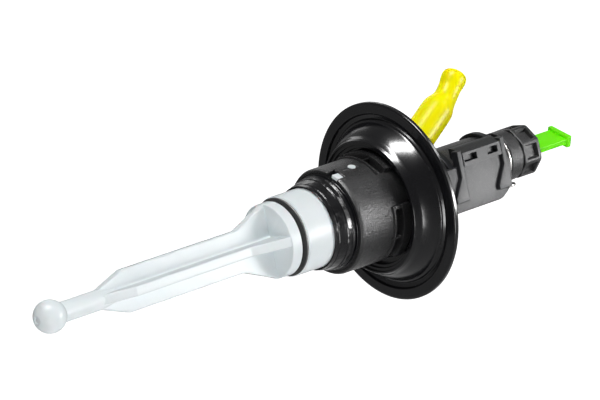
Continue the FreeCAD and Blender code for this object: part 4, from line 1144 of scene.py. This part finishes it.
@dataclass
class OutletHead:
    """Black outlet head: flange, clip neck, collar and an eight-sided connector."""

    rise: float = 2.0
    flange: tuple[tuple[float, float, float], ...] = (
        (47.72, 2.0, 0.0), (47.72, 10.12, 0.2), (48.9, 10.12, 0.1), (48.9, 8.5, 0.1),
        (50.8, 8.5, 0.1), (50.8, 10.12, 0.1), (52.02, 10.12, 0.0), (52.02, 12.8, 0.3),
        (53.4, 12.8, 0.3), (53.4, 2.0, 0.0),
    )
    neck: tuple[tuple[float, float, float], ...] = (
        (52.6, 9.2, 0.0), (55.4, 9.2, 0.3), (55.4, 8.4, 0.2), (57.4, 8.4, 0.2), (57.4, 9.8, 0.3),
        (63.0, 9.8, 0.3), (63.0, 9.0, 0.2), (64.0, 9.0, 0.2),
    )
    half: float = 9.5
    length: Pair = (64.0, 73.0)
    rim_fillet: float = 1.0
    corner_r: float = 10.12
    pocket: tuple[float, float, float, float] = (65.4, 71.0, 2.8, 1.6)
    socket: tuple[tuple[float, float, float], ...] = (
        (73.0, 6.85, 0.2), (72.2, 6.05, 0.2), (64.0, 6.05, 0.0), (64.0, 7.9, 0.0),
        (62.0, 7.9, 0.0), (62.0, 6.05, 0.0), (60.5, 6.05, 0.1), (60.5, 2.0, 0.0),
        (52.6, 2.0, 0.0),
    )

    def shell(self) -> Shell:
        """The head's neck, collar, connector and socket as one closed grid.

        The connector's radius is h / cos(d), with d the turn from the nearest face's middle,
        held under the corner radius by a high power mean.
        """
        low, high, wide, depth = self.pocket
        half_turn = math.degrees(math.atan2(wide, self.half))
        edges = [face * 45.0 + side * half_turn for face in range(9) for side in (-1.0, 1.0)]
        turns = lines(0.0, 360.0, edges, 1.2, 1.5)[None, :-1]
        off = (turns + 22.5) % 45.0 - 22.5
        flat = self.half / np.cos(np.radians(off))
        octagon = (flat ** -60.0 + self.corner_r ** -60.0) ** (-1.0 / 60.0)
        front, rear = self.length
        rows = lines(front, rear, [low, high], 0.35, 0.6)
        rows = np.unique(np.concatenate([rows, rear - self.rim_fillet * (1.0 - np.cos(
            np.linspace(0.0, FULL_TURN / 4.0, 7))), front + np.array([0.02, 0.1, 0.25, 0.4])]))
        rows = rows[:, None]
        fall = self.rim_fillet - np.sqrt(np.maximum(
            self.rim_fillet ** 2 - np.maximum(rows - rear + self.rim_fillet, 0.0) ** 2, 0.0))
        fall = fall + edge_fall(rows, front, rear + 5.0, 0.4)
        pocket = depth * band(rows, low, high, 0.35) * band(off, -half_turn, half_turn, 1.2)
        octagon_rows = octagon - fall - pocket
        ends = [np.array(part) for part in (self.neck, self.socket)]
        neck, socket = [rounded(part[:, :2], part[:, 2], closed=False) for part in ends]
        parts = [(neck[:, :1], neck[:, 1:]), (np.broadcast_to(rows, octagon_rows.shape),
                                              octagon_rows), (socket[:, :1], socket[:, 1:])]
        shape = [(len(along), turns.shape[1]) for along, _ in parts]
        along = np.concatenate([np.broadcast_to(a, s) for (a, _), s in zip(parts, shape)])
        radius = np.concatenate([np.broadcast_to(r, s) for (_, r), s in zip(parts, shape)])
        body = skin(about_axis(along, radius, turns), wrap_rows=True)
        body.points[:, 2] += self.rise
        return body

    def build(self) -> None:
        """Makes the head."""
        flange = np.array(self.flange)
        disc = lathe(rounded(flange[:, :2], flange[:, 2]), 160)
        make_piece("outlet_moulding", joined([disc, self.shell()]), Body.HOUSING, BLACK_NYLON,
                   "outlet_head")


@dataclass
class WireClip:
    """Steel wire round the neck, with a pull loop below."""

    along: float = 56.4
    reach: float = 9.25
    rise: float = 2.0
    top: float = 55.0
    low: float = -50.0
    loop_half: float = 4.2
    loop_level: float = -9.1
    loop_end: float = 62.0
    wire_r: float = 0.7
    corner_r: float = 1.5
    arc_points: int = 40

    def build(self) -> None:
        """Makes the clip: two arcs joined by the loop's runs, with round corners."""
        swing = np.radians(np.linspace(self.top, self.low, self.arc_points))
        up = self.rise + self.reach * np.sin(swing)
        side = self.reach * np.cos(swing)
        near = np.stack([np.full(self.arc_points, self.along), -side, up], axis=1)
        far = (near * [1.0, -1.0, 1.0])[::-1]
        half, level = self.loop_half, self.loop_level
        loop = np.array([(self.along, -half, level), (self.loop_end, -half, level),
                         (self.loop_end, half, level), (self.along, half, level)])
        path = np.concatenate([near, loop, far])
        radii = np.zeros(len(path))
        last = self.arc_points - 1
        radii[last:last + 6] = [0.0, self.corner_r, 2.0 * self.corner_r, 2.0 * self.corner_r,
                                self.corner_r, 0.0]
        line = rounded(path, radii, closed=False, steps=8)
        make_piece("clip_wire", sweep(line, self.wire_r), Body.HOUSING, SPRING_STEEL,
                   "wire_clip")


@dataclass
class TransportPlug:
    """Lime green plug in the outlet: round nose, flat tab and cross bar."""

    turn: float = 23.7
    rise: float = 2.0
    nose: tuple[tuple[float, float, float], ...] = (
        (60.9, 0.0, 0.0), (60.9, 5.95, 0.8), (69.4, 5.95, 0.3), (69.4, 0.0, 0.0),
    )
    tab: tuple[float, float, float, float] = (68.8, 91.2, 5.0, 2.2)
    bar: tuple[float, float, float, float] = (90.8, 93.0, 5.6, 4.6)
    fillet: float = 0.3

    def build(self) -> None:
        """Makes the plug."""
        nose = np.array(self.nose)
        shells = [lathe(rounded(nose[:, :2], nose[:, 2], closed=False), 96, wrap=False)]
        for low, high, half, thick in (self.tab, self.bar):
            outline = rounded([(low, -half), (high, -half), (high, half), (low, half)], 0.5)
            shells.append(prism(outline, -thick / 2.0, thick / 2.0, self.fillet))
        plug = joined(shells).turned(self.turn)
        plug.points[:, 2] += self.rise
        make_piece("shipping_plug", plug, Body.PLUG, GREEN_PLUG, "transport_plug")


@dataclass
class InnerParts:
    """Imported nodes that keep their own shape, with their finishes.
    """

    spring: str = "return_spring"
    spring_joint: str = "piston_travel"
    spring_seat: float = 47.7
    spring_travel: float = 24.0

    finishes: dict[str, Finish] = field(default_factory=lambda: {
        "guide_bush": WHITE_NYLON, "plunger": WHITE_NYLON, "ball_cup": BLACK_NYLON,
        "cup_retainer": BLACK_NYLON, "magnet_ring": MAGNET, "magnet_keeper": WHITE_NYLON,
        "return_spring": SPRING_STEEL, "guide_ring": BLACK_NYLON, "secondary_seal": SEAL_RUBBER,
        "feed_ring": BLACK_NYLON, "primary_seal": SEAL_RUBBER, "end_o_ring": SEAL_RUBBER,
        "socket_o_ring": SEAL_RUBBER,
    })

    def dress(self) -> None:
        """Gives each kept node its finish."""
        for name, finish in self.finishes.items():
            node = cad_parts[name]
            node.data.materials.clear()
            node.data.materials.append(finish.material())
            LOG.info("%s keeps its shape", name)
        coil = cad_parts[self.spring]
        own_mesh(coil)


@dataclass(frozen=True)
class Lamp:
    """Soft box that faces the part: its direction, distance, sides and power.

    Azimuth turns from the near side towards the outlet. A shine lamp shows only in what the
    surfaces mirror.
    """

    name: str
    azimuth: float
    elevation: float
    distance: float
    sides: Pair
    power: float
    shine: bool = False


@dataclass
class Studio:
    """Pale floor, soft boxes, white surroundings and the camera."""

    floor_level: float = -0.42
    floor_half: float = 6.0
    floor_tone: float = 0.9
    ambient: float = 0.22
    mirror_level: float = 0.4
    lens: float = 210.6
    azimuth: float = -38.014
    elevation: float = 8.707
    roll: float = 11.802
    distance: float = 1.3004
    aim: Triple = (-0.0232, 0.0200, 0.0069)
    lamps: tuple[Lamp, ...] = (
        Lamp("top_box", -45.0, 70.0, 1.2, (0.55, 0.22), 9.0),
        Lamp("low_front_box", -49.0, -24.0, 0.7, (0.16, 0.28), 1.3),
        Lamp("right_box", 32.0, 8.0, 1.2, (0.3, 0.4), 4.4),
        Lamp("back_box", 150.0, 35.0, 1.2, (0.6, 0.4), 2.0),
        Lamp("top_shine", -45.0, 70.0, 1.1, (0.6, 0.3), 80.0, shine=True),
        Lamp("low_front_shine", -49.0, -24.0, 0.65, (0.24, 0.26), 8.0, shine=True),
        Lamp("low_right_shine", 42.0, -9.0, 1.0, (0.4, 0.26), 42.0, shine=True),
        Lamp("right_shine", 50.0, 36.0, 1.1, (0.08, 0.3), 6.0, shine=True),
    )

    def axes(self, back: Grid, roll: float) -> Grid:
        """Right, up and back of something that looks against a direction, as columns."""
        right = np.cross([0.0, 0.0, 1.0], back)
        right /= np.linalg.norm(right)
        up = np.cross(back, right)
        angle = math.radians(roll)
        return np.stack([right * math.cos(angle) - up * math.sin(angle),
                         up * math.cos(angle) + right * math.sin(angle), back], axis=1)

    def place(self, thing: bpy.types.Object, spot: Grid, back: Grid, roll: float = 0.0) -> None:
        """Puts a lamp or camera at a spot, facing away from back."""
        matrix = np.eye(4)
        matrix[:3, :3] = self.axes(back / np.linalg.norm(back), roll)
        matrix[:3, 3] = spot
        thing.matrix_world = [tuple(row) for row in matrix.T.tolist()]
        bpy.context.scene.collection.objects.link(thing)

    def towards(self, azimuth: float, elevation: float) -> Grid:
        """Direction (cos e sin a, -cos e cos a, sin e) of an azimuth and an elevation."""
        side, lift = math.radians(azimuth), math.radians(elevation)
        return np.array([math.cos(lift) * math.sin(side), -math.cos(lift) * math.cos(side),
                         math.sin(lift)])

    def make_camera(self) -> None:
        """Camera at the photograph's viewing angle."""
        back = self.towards(self.azimuth, self.elevation)
        data = bpy.data.cameras.new("camera")
        data.lens = self.lens
        data.clip_end = 50.0
        camera = bpy.data.objects.new("camera", data)
        self.place(camera, np.array(self.aim) + back * self.distance, back, self.roll)
        bpy.context.scene.camera = camera

    def make_lamps(self) -> None:
        """Soft boxes."""
        for lamp in self.lamps:
            data = bpy.data.lights.new(lamp.name, "AREA")
            data.shape = "RECTANGLE"
            data.size, data.size_y = lamp.sides
            data.energy = lamp.power
            back = self.towards(lamp.azimuth, lamp.elevation)
            soft_box = bpy.data.objects.new(lamp.name, data)
            soft_box.visible_camera = False
            soft_box.visible_diffuse = not lamp.shine
            self.place(soft_box, back * lamp.distance, back)

    def seen(self, tree: Tree) -> bpy.types.NodeSocket:
        """1 for camera and see-through rays, less for mirrored ones, 0 for the rest."""
        path = tree.add("ShaderNodeLightPath").outputs
        mirrored = tree.sums("MULTIPLY", path["Is Glossy Ray"], self.mirror_level)
        first = tree.sums("MAXIMUM", path["Is Camera Ray"], mirrored)
        return tree.sums("MAXIMUM", first, path["Is Transmission Ray"])

    def make_world(self) -> None:
        """White surroundings for the eye, and a plain level of light for the object."""
        world = bpy.data.worlds.new("white_room")
        world.use_nodes = True
        world.node_tree.nodes.clear()
        tree = Tree(world.node_tree)
        level = tree.sums("MULTIPLY_ADD", self.seen(tree), 1.0 - self.ambient, self.ambient)
        sky = tree.add("ShaderNodeBackground", Color=(1.0, 1.0, 1.0, 1.0), Strength=level)
        output = tree.add("ShaderNodeOutputWorld")
        tree.feed(output.inputs["Surface"], sky.outputs[0])
        bpy.context.scene.world = world

    def make_floor(self) -> None:
        """Pale floor well below the held part, which keeps the part's shadow."""
        half = self.floor_half
        mesh = bpy.data.meshes.new("floor")
        corners = [(-half, -half, self.floor_level), (half, -half, self.floor_level),
                   (half, half, self.floor_level), (-half, half, self.floor_level)]
        mesh.from_pydata(corners, [], [(0, 1, 2, 3)])
        floor = bpy.data.objects.new("floor", mesh)
        bpy.context.scene.collection.objects.link(floor)
        material = bpy.data.materials.new("pale_floor")
        material.use_nodes = True
        material.node_tree.nodes.clear()
        tree = Tree(material.node_tree)
        shader = tree.add("ShaderNodeBsdfPrincipled", Base_Color=(*[self.floor_tone] * 3, 1.0),
                          Roughness=0.9)
        tree.feed(shader.inputs["Emission Color"], (1.0, 1.0, 1.0, 1.0))
        tree.feed(shader.inputs["Emission Strength"], self.seen(tree))
        output = tree.add("ShaderNodeOutputMaterial")
        tree.feed(output.inputs["Surface"], shader.outputs[0])
        mesh.materials.append(material)

    def build(self) -> None:
        """Makes the whole studio."""
        bpy.context.scene.view_settings.view_transform = "Standard"
        self.make_camera()
        self.make_lamps()
        self.make_world()
        self.make_floor()


def main() -> None:
    """Builds every piece in order."""
    logging.basicConfig(level=logging.INFO, format="%(name)s %(message)s")
    Studio().build()
    Pushrod().build()
    PlungerMouth().build()
    FrontCap().build()
    Sleeve().build()
    SealDisc().build()
    PressureBody().build()
    InletCap().build()
    SensorRail().build()
    OutletHead().build()
    WireClip().build()
    TransportPlug().build()
    InnerParts().dress()


if __name__ == "__main__":
    main()
